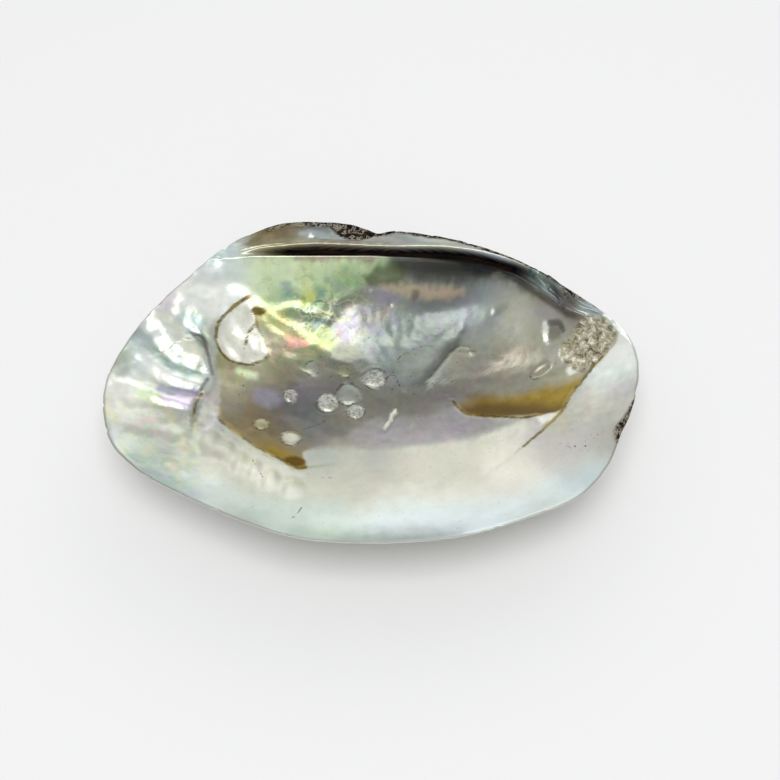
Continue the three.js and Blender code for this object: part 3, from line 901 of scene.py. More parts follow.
@dataclass
class Colouring:
    """What the surface's finish follows: colours and distances kept at the points of the mesh."""

    plan: Plan
    relief: Relief

    def tint(self, x: Array, y: Array) -> Array:
        """The mother of pearl's colour, without its lines and stains, with painted shade under the hinge and
        in the rear furrows, painted highlights on ridges and bumps, and the inner zone partly darkened as a
        painted reflection.

        Args:
            x: the places' X.
            y: the places' Y.

        Returns:
            One colour for each place, as rows of red, green and blue.
        """
        ripple = self.relief.ripple
        wx = x + 1.6 * ripple(x + 70, y, 5) + 0.6 * ripple(x, y + 20, 1.8)
        wy = y + 1.6 * ripple(x, y + 90, 5) + 0.6 * ripple(x + 30, y, 1.8)
        margin = run_together(wx, wy, MARGIN_ROWS)
        inner = run_together(wx, wy, INNER_ROWS)
        plate = run_together(wx, wy, PLATE_ROWS)
        zone = self.zone(x, y)
        soft = mix(0.5, 4.0, np.maximum(smooth(24, 34, y), 0.4 * smooth(-24, -18, x) * smooth(0, -10, y)))
        tint = mix(margin, inner, smooth(-soft, soft, zone)[:, None])
        above = self.plan.above(x, y)
        tint = mix(tint, plate, smooth(-0.3, 0.6, above)[:, None])
        px = x + 0.7 * ripple(x + 15, y, 3) + 0.3 * ripple(x, y + 60, 1.3)
        py = y + 0.7 * ripple(x, y + 33, 3) + 0.3 * ripple(x + 44, y, 1.3)
        for patch in PATCHES:
            tint = mix(tint, hue(patch.tone.value), patch.cover(px, py)[:, None])
        for pearl, (tone, share) in zip(PEARLS, PEARL_TONES):
            cover = share * smooth(1.08, 0.85, pearl.away(px, py))
            tint = mix(tint, hue(tone.value), cover[:, None])
        # Painted highlight: the tops of the first twelve bumps are lightened, a little off their middles.
        bump_highlight = sum(smooth(1.2, 0.2, bump.away(x, y - 0.8)) for bump in BUMPS[:12])
        cloudy = 0.10 * ripple(x + 5, y, 2.2) + 0.08 * ripple(x + 5, y, 5)
        cloudy = 1 + cloudy * (0.2 + 0.8 * smooth(-22, -12, y))
        mottle = mix(1, cloudy, 1 - 0.9 * smooth(-14, -6, above) * smooth(0, 14, x))
        return tint * (mottle + 0.13 * bump_highlight)[:, None]

    def zone(self, x: Array, y: Array) -> Array:
        """How far places lie inside the inner zone that the animal's mantle lined, whose tones are painted
        darker, partly as its own colour and partly as a painted reflection of the darker room.
        """
        ripple = self.relief.ripple
        return inside_ring(x + 0.3 * ripple(x, y, 2), y + 0.3 * ripple(x + 50, y, 2), INNER_ZONE, 6)

    def lines(self, x: Array, y: Array) -> dict[str, Array]:
        """Distances to the stained and dark lines, in millimetres.

        Args:
            x: the places' X.
            y: the places' Y.

        Returns:
            Each attribute's name and its values.
        """
        scar = [REAR_SCAR[:10], ((-42.5, 27), (-44.5, 23.5), (-45, 21), (-46, 18)), FOLD[7:]]
        amber = [FRONT_STEP, STAIN_EDGE, WEAR_LINE[2:]]
        dark = [
            ((-24.5, -12), (-20, -10), (-15, -6.5), (-10, -4)),
            ((-40.5, -27), (-38.5, -30.5), (-36.5, -34.5)),
            ((-25.5, -52), (-24, -49.5), (-23, -47)), ((-22.5, -31), (-17.5, -32.5), (-12.5, -32.5)),
            REAR_SCAR[9:], STAIN_EDGE, ((-44, 37), (-43, 34), (-44.5, 40), (-46, 41.5)),
            ((-26, 40), (-21, 35), (-18, 32)), ((-20, 30), (-24, 33), (-20, 36), (-14, 33), (-17, 29)),
            ((55, 8), (57, 11.5), (60.5, 12), (62, 9.5), (60, 8), (56.5, 6.5), (55, 8)),
            ((4, 10), (7, 11.5), (9, 8), (9.5, 4)), ((-3, 12), (1, 14), (5, 12.5)),
            ((14, 22), (19, 23.5), (22, 22.5)), ((8, 17), (11, 20), (15, 20.5)),
        ]
        # Painted shade along the fold, on one side of some pearls, by the front scar and between the front
        # teeth.
        crease = [
            FOLD[:6], ((-20, -0.5), (-19.4, -2.6), (-17.5, -4.2)), ((-12.6, 5), (-10.8, 7.6), (-7.6, 8)),
            ((-2.5, 7.2), (0, 6.2), (2.5, 7)), ((61.8, 22.4), (65, 22), (66.8, 20)),
            ((-59.5, -0.5), (-57.5, 4)), ((56.5, 38.8), (60.5, 36.3), (63.5, 32.8), (64.5, 29.5)),
            ((61, 39.6), (65, 36), (68, 32.6), (71, 29.2)),
            ((66.5, 31.5), (69.5, 27.4), (74, 24.6), (79, 22.2)), ((58, 33.5), (62, 29.8), (66.5, 26)),
        ]
        pearl = np.min([abs(k.away(x, y) - 1.05) * k.radius for k in PEARLS], axis=0)
        return {
            "amber_line": np.minimum(nearest(x, y, amber), nearest(x, y, scar) + 0.05),
            "dark_line": np.minimum(nearest(x, y, dark), pearl),
            "crease": nearest(x, y, crease),
        }

    def zones(self, x: Array, y: Array) -> dict[str, Array]:
        """Shares of the stains, scars and skin at each place, from 0 to 1, and other guides.

        Args:
            x: the places' X.
            y: the places' Y.

        Returns:
            Each attribute's name and its values.
        """
        above = self.plan.above(x, y)
        relief = self.relief
        top = relief.groove_top(x)
        ripple = relief.ripple
        foot = np.interp(x, (-12, 8, 30, 45, 55), (0.5, 0.1, -0.7, -0.6, 0.2))
        groove = smooth(foot, foot + 0.9, above) * smooth(top + 0.2, top - 0.5, above)
        groove = groove * smooth(-49, -30, x) * smooth(58, 50, x)
        # Painted highlight along the crests of the hinge ridges, stronger towards the front.
        crest = np.exp(-(((above - top - 0.6) / 0.38) ** 2)) * smooth(-50, -44, x) * smooth(56, 50, x)
        twin = np.exp(-(((above - top - 1.8) / 0.3) ** 2)) * smooth(-50, -46, x) * smooth(10, 4, x)
        crest = np.maximum(crest, 0.35 * twin) * mix(0.6, 1.0, smooth(-5, 20, x))
        stain_ring = through(
            ((28, 1.5), (31, -3.5), (34, -6), (44, -7.8), (56, -8.8), (64, -8.5), (69, -1), (74, 5),
             (70, 9), (62, 6), (54, 4), (47, 4), (40, 5.5), (34, 6), (28, 1.5))
        )
        stain = smooth(-1.0, 1.4, within(x, y, stain_ring) - 0.5 * ripple(x, y, 5))
        stain = stain * smooth(5.0, -4.0, y - 0.1 * (x - 40) + 0.8 * ripple(x, y, 6))
        low_brown = smooth(9, 0.5, distance(x, y, through(WEAR_LINE[1:]))[0])
        low_brown = low_brown * smooth(-0.4, 0.4, self.zone(x, y))
        tail = smooth(1.1, 0.7, np.hypot((x + 26.5) / 4.2, (y + 26) / 2.6))
        blob = smooth(1.15, 0.6, np.hypot((x + 41.5) / 2.9, (y - 32) / 2.0) + 0.2 * ripple(x, y, 2))
        scar = smooth(-1.2, 1.2, inside_ring(x, y, REAR_SCAR))
        rough = smooth(-0.8, 0.8, inside_ring(x, y, FRONT_SCAR) + 0.6 * ripple(x, y, 2))
        patch = smooth(-0.4, 0.4, inside_ring(x, y, SKIN_PATCH) + 0.5 * ripple(x, y, 2))
        front = smooth(-0.4, 0.4, inside_ring(x, y, FRONT_SKIN, 3))
        start = np.interp(x, (34, 36, 45, 52, 58, 72, 78), (8.6, 7.0, 5.0, 4.8, 5.2, 5.4, 6.8))
        strip = smooth(-0.3, 0.3, above - start + 0.4 * ripple(x, y, 3)) * smooth(33, 36, x)
        rim_skin = smooth(1.7, 0.9, distance(x, y, self.plan.rim)[0] + 0.7 * ripple(x, y, 4))
        rim_skin = rim_skin * smooth(3, 6, above) * smooth(-45, -35, x)
        opal = 0.12 + 0.2 * smooth(-24, -12, y) + 0.65 * swell(x, y, (-18, 30), 28, 16)
        opal = np.maximum(opal, 0.6 * smooth(-50, -62, x))
        pits = swell(x, y, (-46, 2), 9, 7)
        pits = np.maximum(pits, 0.8 * swell(x, y, (72, -24), 11, 4))
        for pearl in (PEARLS[0], PEARLS[2], PEARLS[3], PEARLS[4]):
            pits = np.maximum(pits, 0.9 * smooth(1.1, 0.9, pearl.away(x, y)))
        pits = np.maximum(pits, 0.25 + 0.3 * swell(x, y, (8, 15), 40, 25))
        grain = np.maximum.reduce([smooth(1.05, 0.9, PEARLS[i].away(x, y)) for i in (0, 2, 3, 4)])
        return {
            "groove": groove,
            "grain": grain,
            "stain": np.maximum.reduce([stain, tail, blob, low_brown * mix(0.25, 0.8, smooth(-42, -32, x))]),
            "deep_stain": np.maximum(np.maximum(tail, blob), stain * smooth(3.5, -3.5, y + 0.25 * (x - 40))),
            "scar": scar,
            "rough": rough,
            "skin": np.maximum.reduce([patch, front, strip, rim_skin]),
            "opal": opal,
            "crest": crest,
            "rim": smooth(0.9, 0.45, distance(x, y, self.plan.rim, 3.0)[0]) * smooth(1.0, 0.0, above),
            # Where the painted net of highlights and the shaded dips lie.
            "crinkle": swell(x, y, (-24, 34), 17, 12),
            "pits": pits,
            "above": above,
        }


# ---------------------------------------------------------------------------------------- the shader


def add_object(name: str, data: bpy.types.ID) -> bpy.types.Object:
    """Adds an object to the scene.

    Args:
        name: the object's name.
        data: its mesh, lamp or camera.

    Returns:
        The object.
    """
    made = bpy.data.objects.new(name, data)
    bpy.context.scene.collection.objects.link(made)
    return made


def light(code: str) -> tuple[float, float, float]:
    """A screen colour written as six hexadecimal digits, for a shader's socket."""
    return tuple(float(v) for v in hue(code))


class Wire:
    """What comes out of a shader node. Sums on it add Math nodes."""

    def __init__(self, bench: "Bench", socket: bpy.types.NodeSocket) -> None:
        """Keeps the socket and the bench it is on."""
        self.bench = bench
        self.socket = socket

    def _sum(self, operation: str, first: Any, second: Any = 0.0) -> "Wire":
        """Adds one Math node."""
        return self.bench.node("ShaderNodeMath", {"operation": operation}, {0: first, 1: second})

    def __add__(self, other: Any) -> "Wire":
        """Sum."""
        return self._sum("ADD", self, other)

    __radd__ = __add__

    def __sub__(self, other: Any) -> "Wire":
        """Difference."""
        return self._sum("SUBTRACT", self, other)

    def __rsub__(self, other: Any) -> "Wire":
        """Difference from something else."""
        return self._sum("SUBTRACT", other, self)

    def __mul__(self, other: Any) -> "Wire":
        """Product."""
        return self._sum("MULTIPLY", self, other)

    __rmul__ = __mul__

    def __truediv__(self, other: Any) -> "Wire":
        """Quotient."""
        return self._sum("DIVIDE", self, other)

    def __pow__(self, other: Any) -> "Wire":
        """Power."""
        return self._sum("POWER", self, other)

    def most(self, other: Any) -> "Wire":
        """The greater of the two."""
        return self._sum("MAXIMUM", self, other)

    def step(self, low: float, high: float) -> "Wire":
        """An eased step.

        Args:
            low: the value where it is 0. It may be the greater of the two.
            high: the value where it is 1.

        Returns:
            The step's height.
        """
        if low > high:
            return 1.0 - self.step(high, low)
        settings = {"interpolation_type": "SMOOTHSTEP"}
        inputs = {"Value": self, 1: low, 2: high, 3: 0.0, 4: 1.0}
        return self.bench.node("ShaderNodeMapRange", settings, inputs)


class Bench:
    """The nodes of a material or of the studio's surroundings."""

    def __init__(self, owner: bpy.types.Material | bpy.types.World) -> None:
        """Starts with no nodes."""
        self.owner = owner
        owner.use_nodes = True
        self.tree = owner.node_tree
        self.tree.nodes.clear()

    @classmethod
    def material(cls, name: str) -> "Bench":
        """Starts a material."""
        return cls(bpy.data.materials.new(name))

    def node(self, kind: str, settings: dict[str, Any], inputs: dict[Any, Any], out: Any = 0) -> Wire:
        """Adds one node.

        Args:
            kind: the node's type.
            settings: its settings, among them the stops of a ramp.
            inputs: the values or wires of its sockets, by name or number.
            out: the socket that is wanted, by name or number.

        Returns:
            The wire out of it.
        """
        made = self.tree.nodes.new(kind)
        for name, value in settings.items():
            if name == "stops":
                self._set_stops(made.color_ramp, value)
            else:
                setattr(made, name, value)
        for key, value in inputs.items():
            if isinstance(value, Wire):
                self.tree.links.new(value.socket, made.inputs[key])
            else:
                made.inputs[key].default_value = value
        return Wire(self, made.outputs[out])

    @staticmethod
    def _set_stops(ramp: bpy.types.ColorRamp, stops: Stops) -> None:
        """Gives a ramp its stops.

        Args:
            ramp: the ramp.
            stops: each stop's place along the ramp and its colour.
        """
        while len(ramp.elements) < len(stops):
            ramp.elements.new(0.5)
        for element, (position, colour) in zip(ramp.elements, stops):
            element.position = position
            element.color = (*light(colour), 1.0)

    def kept(self, name: str, colour: bool = False) -> Wire:
        """What is kept at the points of the mesh under a name."""
        return self.node("ShaderNodeAttribute", {"attribute_name": name}, {}, "Color" if colour else "Fac")

    def place(self) -> Wire:
        """Where the surface is, in millimetres."""
        at = self.node("ShaderNodeTexCoord", {}, {}, "Object")
        return self.node("ShaderNodeVectorMath", {"operation": "SCALE"}, {0: at, "Scale": 1000.0})

    def noise(self, at: Wire, size: float, detail: float = 2.0, rough: float = 0.5, bend: float = 0) -> Wire:
        """Cloudy noise, from 0 to 1, with humps of a size in millimetres."""
        values = {"Vector": at, "Scale": 1 / size, "Detail": detail, "Roughness": rough, "Distortion": bend}
        return self.node("ShaderNodeTexNoise", {}, values, 0)

    def blend(self, share: Any, a: Any, b: Any, mode: str = "MIX") -> Wire:
        """A colour between two others.

        Args:
            share: how much of the second colour there is.
            a: the first colour, as a wire or as six hexadecimal digits.
            b: the second colour.
            mode: how the second colour is laid over the first.

        Returns:
            The colour.
        """
        settings = {"data_type": "RGBA", "blend_type": mode, "clamp_factor": True}
        first, second = ((*light(c), 1.0) if isinstance(c, str) else c for c in (a, b))
        return self.node("ShaderNodeMix", settings, {0: share, 6: first, 7: second}, 2)

    def ramp(self, factor: Wire, stops: Stops) -> Wire:
        """A colour that runs through stops as the factor grows."""
        return self.node("ShaderNodeValToRGB", {"stops": stops}, {"Fac": factor}, "Color")

    def bump(self, height: Wire) -> Wire:
        """The surface's direction where it is raised by a height in millimetres."""
        return self.node("ShaderNodeBump", {}, {"Height": height, "Distance": MM, "Strength": 0.8})

    def gloss(self, values: dict[str, Any]) -> Wire:
        """A gloss shader."""
        return self.node("ShaderNodeBsdfPrincipled", {}, values)

    def surface(self, shader: Wire) -> bpy.types.Material:
        """Ends the material in a shader."""
        output = self.tree.nodes.new("ShaderNodeOutputMaterial")
        self.tree.links.new(shader.socket, output.inputs["Surface"])
        return self.owner


@dataclass(frozen=True)
class NacreFinish:
    """Mother of pearl, with its play of colour, stains, scars and hairlines."""

    gloss: float = 0.24
    opal_share: float = 0.30
    coat: float = 0.42
    film: float = 420.0
    film_index: float = 1.36
    index: float = 1.42
    horn_shine: float = 0.06

    def opal(self, bench: Bench, at: Wire) -> Wire:
        """The play of colour, which turns through pink, green and blue over a few millimetres."""
        turn = bench.noise(at, 11.0, 2.0, 0.55, 1.2) * 0.7 + bench.noise(at, 3.2, 2.0, 0.5, 0.8) * 0.3
        stops = (
            (0.30, "c98fa6"), (0.38, "d8c27c"), (0.45, "9ccf8a"), (0.52, "8fc9c4"),
            (0.58, "a9a6d6"), (0.65, "d39fbb"), (0.72, "a5d295"),
        )
        return bench.ramp(turn, stops)

    def colour(self, bench: Bench, at: Wire) -> Wire:
        """The surface's colour with everything on it.

        Args:
            bench: the material's nodes.
            at: where the surface is.

        Returns:
            The colour.
        """
        base = bench.kept("tint", colour=True)
        mottle = bench.noise(at, 2.4, 4.0, 0.6)
        haze = bench.kept("opal") * 0.2 + 0.06
        base = bench.blend(haze, base, bench.blend(mottle, "8a8a86", "ffffff"), "OVERLAY")
        base = bench.blend(bench.kept("opal") * self.opal_share, base, self.opal(bench, at), "OVERLAY")
        # Painted highlights as a net of pale lines over the crinkled zone, and painted shade in darker dips.
        fold = bench.noise(at, 6.5, 1.0, 0.5, 1.6) - 0.5
        net_highlight = (fold * fold).step(0.0045, 0.0) * bench.noise(at, 5.0).step(0.35, 0.6) * bench.kept("crinkle")
        base = bench.blend(net_highlight * 0.5, base, "e6edb4")
        dip_shade = bench.noise(at, 5.2, 2.0, 0.5, 1.0).step(0.56, 0.7) * bench.kept("crinkle")
        base = bench.blend(dip_shade * 0.45, base, "5f7a68")
        stain = bench.kept("stain")
        ragged = (stain + (bench.noise(at, 3.0, 3.0) - 0.5) * 0.3).step(0.0, 1.0)
        cloud = bench.noise(at, 4.0, 3.0).step(0.3, 0.7)
        amber = bench.blend(bench.kept("deep_stain"), bench.blend(cloud, "846909", "98802a"), "584002")
        base = bench.blend(ragged * 0.9, base, amber)
        scar = bench.kept("scar")
        chalk = bench.blend(bench.noise(at, 3.5, 3.0), "c9c8b4", "f6f7f0")
        base = bench.blend(scar.step(0.45, 0.8) * (1.0 - ragged) * 0.85, base, chalk)
        ring = (scar * (1.0 - scar) * 4.0).step(0.4, 0.95) * bench.noise(at, 4.5).step(0.3, 0.6)
        base = bench.blend(ring * 0.6, base, "85702a")
        grain = bench.noise(at, 2.4, 5.0, 0.75, 0.5)
        stops = ((0.36, "3b3324"), (0.43, "837b60"), (0.54, "bdb69c"), (0.64, "f6f4e8"))
        crumbs = bench.ramp(grain, stops)
        base = bench.blend(bench.kept("rough") * 0.9, base, crumbs)
        speckle = bench.noise(at, 0.9, 2.0, 0.6).step(0.42, 0.58)
        base = bench.blend(bench.kept("grain") * 0.42, base, bench.blend(speckle, "7a7975", "cfd0ca"))
        hair = bench.noise(at, 4.2, 2.0, 0.5, 2.0) - 0.5
        hair = (hair * hair).step(0.00012, 0.0) * bench.noise(at, 6.0).step(0.45, 0.6) * bench.kept("pits")
        base = bench.blend(hair * 0.7, base, "4a4a3c")
        return self.lines(bench, at, base)

    def lines(self, bench: Bench, at: Wire, base: Wire) -> Wire:
        """Adds the groove with its painted shade, the dark skin, the stained lines, painted shade along the
        creases, painted highlights on the hinge crests, the darker rim and the pits.

        Args:
            bench: the material's nodes.
            at: where the surface is.
            base: the colour that they lie on.

        Returns:
            The colour with them on it.
        """
        wobble = (bench.noise(at, 1.6, 3.0) - 0.5) * 1.1
        amber = (bench.kept("amber_line") + wobble).step(0.85, 0.25)
        gold = bench.blend(bench.noise(at, 5.0).step(0.4, 0.6), "5c4a0c", "948030")
        base = bench.blend(amber * 0.85, base, gold)
        # Painted shade along the creases.
        crease = (bench.kept("crease") + wobble * 0.4).step(0.95, 0.2)
        base = bench.blend(crease * 0.6, base, "3d3b38")
        dark = (bench.kept("dark_line") + wobble * 0.5).step(0.42, 0.08)
        dark = dark * bench.noise(at, 4.0).step(0.38, 0.55)
        base = bench.blend(dark * 0.75, base, "3a352c")
        cells = {"Vector": at, "Scale": 0.62, "Randomness": 1.0}
        dots = bench.node("ShaderNodeTexVoronoi", {"feature": "F1"}, cells, "Distance")
        chosen = bench.noise(at, 1.7, 0.0).step(0.60, 0.66) * bench.kept("pits").step(0.1, 0.9)
        base = bench.blend(dots.step(0.3, 0.14) * chosen, base, "35302a")
        # The groove: dark brown residue, painted near black as the shade deep inside it.
        along = bench.node("ShaderNodeVectorMath", {"operation": "MULTIPLY"}, {0: at, 1: (0.1, 1.0, 1.0)})
        streak = bench.noise(along, 1.1, 3.0, 0.6)
        groove_residue_and_shade = bench.blend(streak.step(0.4, 0.75), "070403", "261609")
        base = bench.blend(bench.kept("groove"), base, groove_residue_and_shade)
        horn = ((0.42, "0f0b08"), (0.5, "3a2e1e"), (0.55, "a39b8f"), (0.6, "241c14"))
        skin = bench.ramp(bench.noise(at, 2.8, 4.0, 0.6, 0.8), horn)
        # Painted highlight on the hinge crests.
        base = bench.blend(bench.kept("crest") * 0.75, base, "dcd6b8")
        base = bench.blend(bench.kept("rim") * 0.6, base, "77736a")
        return bench.blend(bench.kept("skin"), base, skin)

    def make(self) -> bpy.types.Material:
        """Builds the material."""
        bench = Bench.material("mother_of_pearl")
        at = bench.place()
        horny = bench.kept("skin").most(bench.kept("groove"))
        rough = bench.kept("rough").most(horny)
        dull = rough.most(bench.kept("stain") * 0.6)
        small = bench.noise(at, 1.5, 3.0)
        height = bench.noise(at, 2.6, 3.0, 0.55) * (bench.kept("opal") * 0.16 + 0.02) + small * 0.02
        height = height + rough * bench.noise(at, 0.8, 3.0, 0.7) * 0.4
        bump = bench.bump(height)
        colour = self.colour(bench, at)
        pearly = bench.gloss(
            {
                "Base Color": colour,
                "Roughness": self.gloss + small * 0.14 + rough * 0.35,
                "Metallic": (1.0 - dull) * 0.55,
                "Coat Weight": (1.0 - dull) * self.coat,
                "Coat Roughness": COAT_ROUGHNESS,
                "Thin Film Thickness": self.film,
                "Thin Film IOR": self.film_index,
                "IOR": self.index,
                "Normal": bump,
            }
        )
        plain = bench.gloss(
            {"Base Color": colour, "Roughness": 0.5, "Specular IOR Level": self.horn_shine, "Normal": bump}
        )
        share = horny.most(bench.kept("stain").step(0.2, 0.85) * 0.9).most(bench.kept("rough") * 0.7)
        return bench.surface(bench.node("ShaderNodeMixShader", {}, {0: share, 1: pearly, 2: plain}))


@dataclass(frozen=True)
class BackFinish:
    """The polished outside, with growth bands and the last of its brown skin."""

    gloss: float = 0.22
    film: float = 420.0
    film_index: float = 1.45
    bands: float = 60.0

    def make(self) -> bpy.types.Material:
        """Builds the material."""
        bench = Bench.material("polished_back")
        at = bench.place()
        loop = bench.kept("loop")
        wander = (bench.noise(at, 30.0, 2.0) - 0.5) * 0.08
        rings = bench.node("ShaderNodeCombineXYZ", {}, {0: (loop + wander) * self.bands, 1: 0.0, 2: 0.0})
        bands = bench.noise(rings, 1.6, 3.0, 0.6)
        stops = (
            (0.32, "c9bfa4"), (0.44, "e3e2d2"), (0.52, "d9dcd6"),
            (0.6, "e6d9cf"), (0.72, "b9b9a8"),
        )
        base = bench.ramp(bands, stops)
        base = bench.blend(0.22, base, NacreFinish().opal(bench, at), "OVERLAY")
        skin = (bench.kept("back_skin") + (bench.noise(at, 5.0, 5.0, 0.65) - 0.5) * 0.9).step(0.45, 0.6)
        horn = bench.blend(bench.noise(at, 2.0, 4.0), "2a1e12", "6b5230")
        base = bench.blend(skin, base, horn)
        height = bands * 0.05 + bench.noise(at, 3.0, 2.0) * 0.05 + skin * bench.noise(at, 1.0, 3.0) * 0.25
        bump = bench.bump(height)
        values = {
            "Base Color": base,
            "Roughness": skin * 0.3 + self.gloss,
            "Metallic": (1.0 - skin) * 0.2,
            "Coat Weight": (1.0 - skin) * 0.5,
            "Coat Roughness": COAT_ROUGHNESS,
            "Thin Film Thickness": self.film,
            "Thin Film IOR": self.film_index,
            "Normal": bump,
        }
        return bench.surface(bench.gloss(values))


# ----------------------------------------------------------------------------------------- the valve


@dataclass
class Valve:
    """The whole shell, as one closed sheet."""

    quads_long: int = 260
    quads_wide: int = 180
    edge_cuts: int = 3
    back_below: float = 0.3
    plan: Plan = field(default_factory=Plan)

    def __post_init__(self) -> None:
        """Makes the shapes that the valve follows."""
        self.bowl = Bowl(self.plan)
        self.relief = Relief(self.plan)
        self.colouring = Colouring(self.plan, self.relief)

    def sheet(self) -> bpy.types.Mesh:
        """A flat sheet with an upper side, a lower side and a rounded edge between them."""
        bm = bmesh.new()
        bmesh.ops.create_grid(bm, x_segments=self.quads_long, y_segments=self.quads_wide, size=1.0)
        upper = list(bm.verts)
        made = bmesh.ops.extrude_face_region(bm, geom=list(bm.faces))
        lower = [v for v in made["geom"] if isinstance(v, bmesh.types.BMVert)]
        bmesh.ops.translate(bm, verts=upper, vec=(0, 0, 1))
        bmesh.ops.translate(bm, verts=lower, vec=(0, 0, -1))
        posts = [e for e in bm.edges if abs(e.verts[0].co.z - e.verts[1].co.z) > 1]
        bmesh.ops.subdivide_edges(bm, edges=posts, cuts=self.edge_cuts, use_grid_fill=True)
        bmesh.ops.recalc_face_normals(bm, faces=list(bm.faces))
        mesh = bpy.data.meshes.new("mother_of_pearl_shell")
        bm.to_mesh(mesh)
        bm.free()
        return mesh

    def shape(self, mesh: bpy.types.Mesh) -> tuple[Array, Array, Array, Array]:
        """Moves the sheet's points to where they belong on the shell.

        Args:
            mesh: the flat sheet, which is changed.

        Returns:
            X and Y in plan, the loop and the side of each point: 1 up, -1 down.
        """
        flat = np.empty(len(mesh.vertices) * 3)
        mesh.vertices.foreach_get("co", flat)
        s, t, side = flat.reshape(-1, 3).T
        s, t = s / np.abs(s).max(), t / np.abs(t).max()
        angle, reach, loop = self.plan.place(s, t)
        ex, ey = (self.plan.deepest[i] + reach * f(angle) for i, f in enumerate((np.cos, np.sin)))
        reach = reach + self.relief.edge(ex, ey) * smooth(0.97, 1, loop)
        round_edge = np.sqrt(np.maximum(0, 1 - side**2))
        reach = reach + self.plan.lip * round_edge
        x = self.plan.deepest[0] + reach * np.cos(angle)
        y = self.plan.deepest[1] + reach * np.sin(angle)
        push_in, high = self.bowl.inside(x, angle, reach)
        push_out, low = self.bowl.outside(x, angle, reach, loop)
        high = high + self.relief.inside(x, y) * smooth(1.0, 0.985, loop)
        low = low - self.relief.outside(x, y, loop) * smooth(1.0, 0.97, loop)
        upward = (side + 1) / 2
        z = np.maximum(0, mix(low, high, upward))
        place = np.stack([x, y + mix(push_out, push_in, upward), z], axis=1)
        middle = (place.max(0) + place.min(0)) / 2
        place -= (middle[0], middle[1], place[:, 2].min())
        mesh.vertices.foreach_set("co", (place * MM).ravel())
        mesh.update()
        return x, y, loop, side

    def mark(self, mesh: bpy.types.Mesh, x: Array, y: Array, loop: Array) -> None:
        """Keeps at the mesh's points what its finish follows."""
        tint = mesh.attributes.new("tint", "FLOAT_COLOR", "POINT")
        colour = np.concatenate([self.colouring.tint(x, y), np.ones((x.size, 1))], axis=1)
        tint.data.foreach_set("color", colour.ravel())
        skin = smooth(2, 12, self.plan.above(x, y)) * smooth(0.8, 1, loop) * 0.8
        skin = np.maximum(skin, 0.45 * swell(x, y, (56, 40), 16, 12))
        kept = {"loop": loop, "back_skin": skin, **self.colouring.zones(x, y), **self.colouring.lines(x, y)}
        for name, values in kept.items():
            mesh.attributes.new(name, "FLOAT", "POINT").data.foreach_set("value", values)

    def build(self) -> bpy.types.Object:
        """Makes the shell.

        Returns:
            The shell's object.
        """
        mesh = self.sheet()
        x, y, loop, side = self.shape(mesh)
        self.mark(mesh, x, y, loop)
        mesh.shade_smooth()
        mesh.materials.append(NacreFinish().make())
        mesh.materials.append(BackFinish().make())
        corner = np.empty(len(mesh.loops), int)
        mesh.loops.foreach_get("vertex_index", corner)
        back = side[corner.reshape(-1, 4)].mean(axis=1) < self.back_below
        mesh.polygons.foreach_set("material_index", back.astype(int))
        shell = add_object("mother_of_pearl_shell", mesh)
        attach(shell, "root")
        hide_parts(NODE)
        return shell


# ---------------------------------------------------------------------------------------- the studio


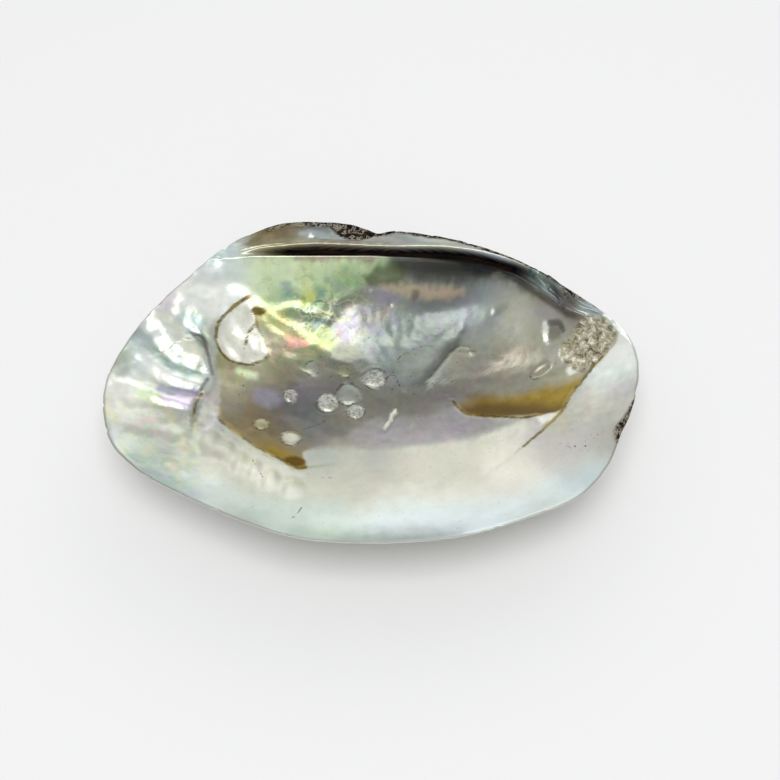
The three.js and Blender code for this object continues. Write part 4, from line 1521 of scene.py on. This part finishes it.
@dataclass
class Studio:
    """A pale floor, soft light and the camera."""

    lens: float = 61.1
    away: float = 0.45
    elevation: float = 60.0
    target: tuple[float, float, float] = (0.0058, -0.0041, 0.020)
    floor_size: float = 3.0
    paper: Colour = (0.785, 0.782, 0.775, 1)
    sky: Colour = (0.96, 0.97, 1.0, 1)
    room: float = 0.66
    behind: float = 0.4
    before: float = 0.1
    beside: float = 0.08
    window_power: float = 2.2
    ceiling_power: float = 13.6

    def camera(self) -> None:
        """Stands the camera in front of the shell and above it."""
        data = bpy.data.cameras.new("camera")
        data.lens = self.lens
        data.clip_start = 0.01
        camera = add_object("camera", data)
        rise = math.radians(self.elevation)
        camera.location = Vector(self.target) + self.away * Vector((0, -math.cos(rise), math.sin(rise)))
        camera.rotation_euler = (math.pi / 2 - rise, 0, 0)
        bpy.context.scene.camera = camera

    def softbox(
        self, name: str, at: tuple[float, float, float], size: tuple[float, float], power: float
    ) -> None:
        """A large lamp aimed at the shell.

        Args:
            name: the lamp's name.
            at: where it stands.
            size: its width and height.
            power: its power in watts.
        """
        data = bpy.data.lights.new(name, "AREA")
        data.shape = "RECTANGLE"
        data.size, data.size_y = size
        data.energy = power
        lamp = add_object(name, data)
        lamp.location = at
        lamp.rotation_euler = (Vector(self.target) - Vector(at)).to_track_quat("-Z", "Y").to_euler()

    def floor(self) -> None:
        """A plain pale floor."""
        bm = bmesh.new()
        bmesh.ops.create_grid(bm, x_segments=1, y_segments=1, size=self.floor_size)
        mesh = bpy.data.meshes.new("floor")
        bm.to_mesh(mesh)
        bm.free()
        bench = Bench.material("pale_floor")
        paper = {"Base Color": self.paper, "Roughness": 0.9, "Specular IOR Level": 0.1}
        mesh.materials.append(bench.surface(bench.gloss(paper)))
        floor = add_object("floor", mesh)

    def surroundings(self) -> None:
        """A pale room, brighter behind the shell and darker on the camera's side."""
        world = bpy.data.worlds.new("studio")
        bench = Bench(world)
        way = bench.node("ShaderNodeTexCoord", {}, {}, "Generated")
        back = bench.node("ShaderNodeSeparateXYZ", {}, {0: way}, "Y")
        side = bench.node("ShaderNodeSeparateXYZ", {}, {0: way}, "X")
        strength = self.room + back.step(0.35, 0.95) * self.behind
        strength = strength - back.step(0.1, -0.7) * self.before - side * self.beside
        shader = bench.node("ShaderNodeBackground", {}, {"Color": self.sky, "Strength": strength})
        output = bench.tree.nodes.new("ShaderNodeOutputWorld")
        bench.tree.links.new(shader.socket, output.inputs["Surface"])
        bpy.context.scene.world = world

    def build(self) -> None:
        """Sets the studio up."""
        self.floor()
        self.softbox("window", (0.4, 1.25, 0.85), (1.3, 0.7), self.window_power)
        self.softbox("ceiling", (0.0, -0.3, 1.6), (1.0, 1.0), self.ceiling_power)
        self.surroundings()
        bpy.context.scene.view_settings.view_transform = "Standard"


def main() -> None:
    """Builds the studio and the shell."""
    studio = Studio()
    studio.camera()
    shell = Valve().build()
    log.info("%s: %d faces", shell.name, len(shell.data.polygons))
    studio.build()


if __name__ == "__main__":
    main()
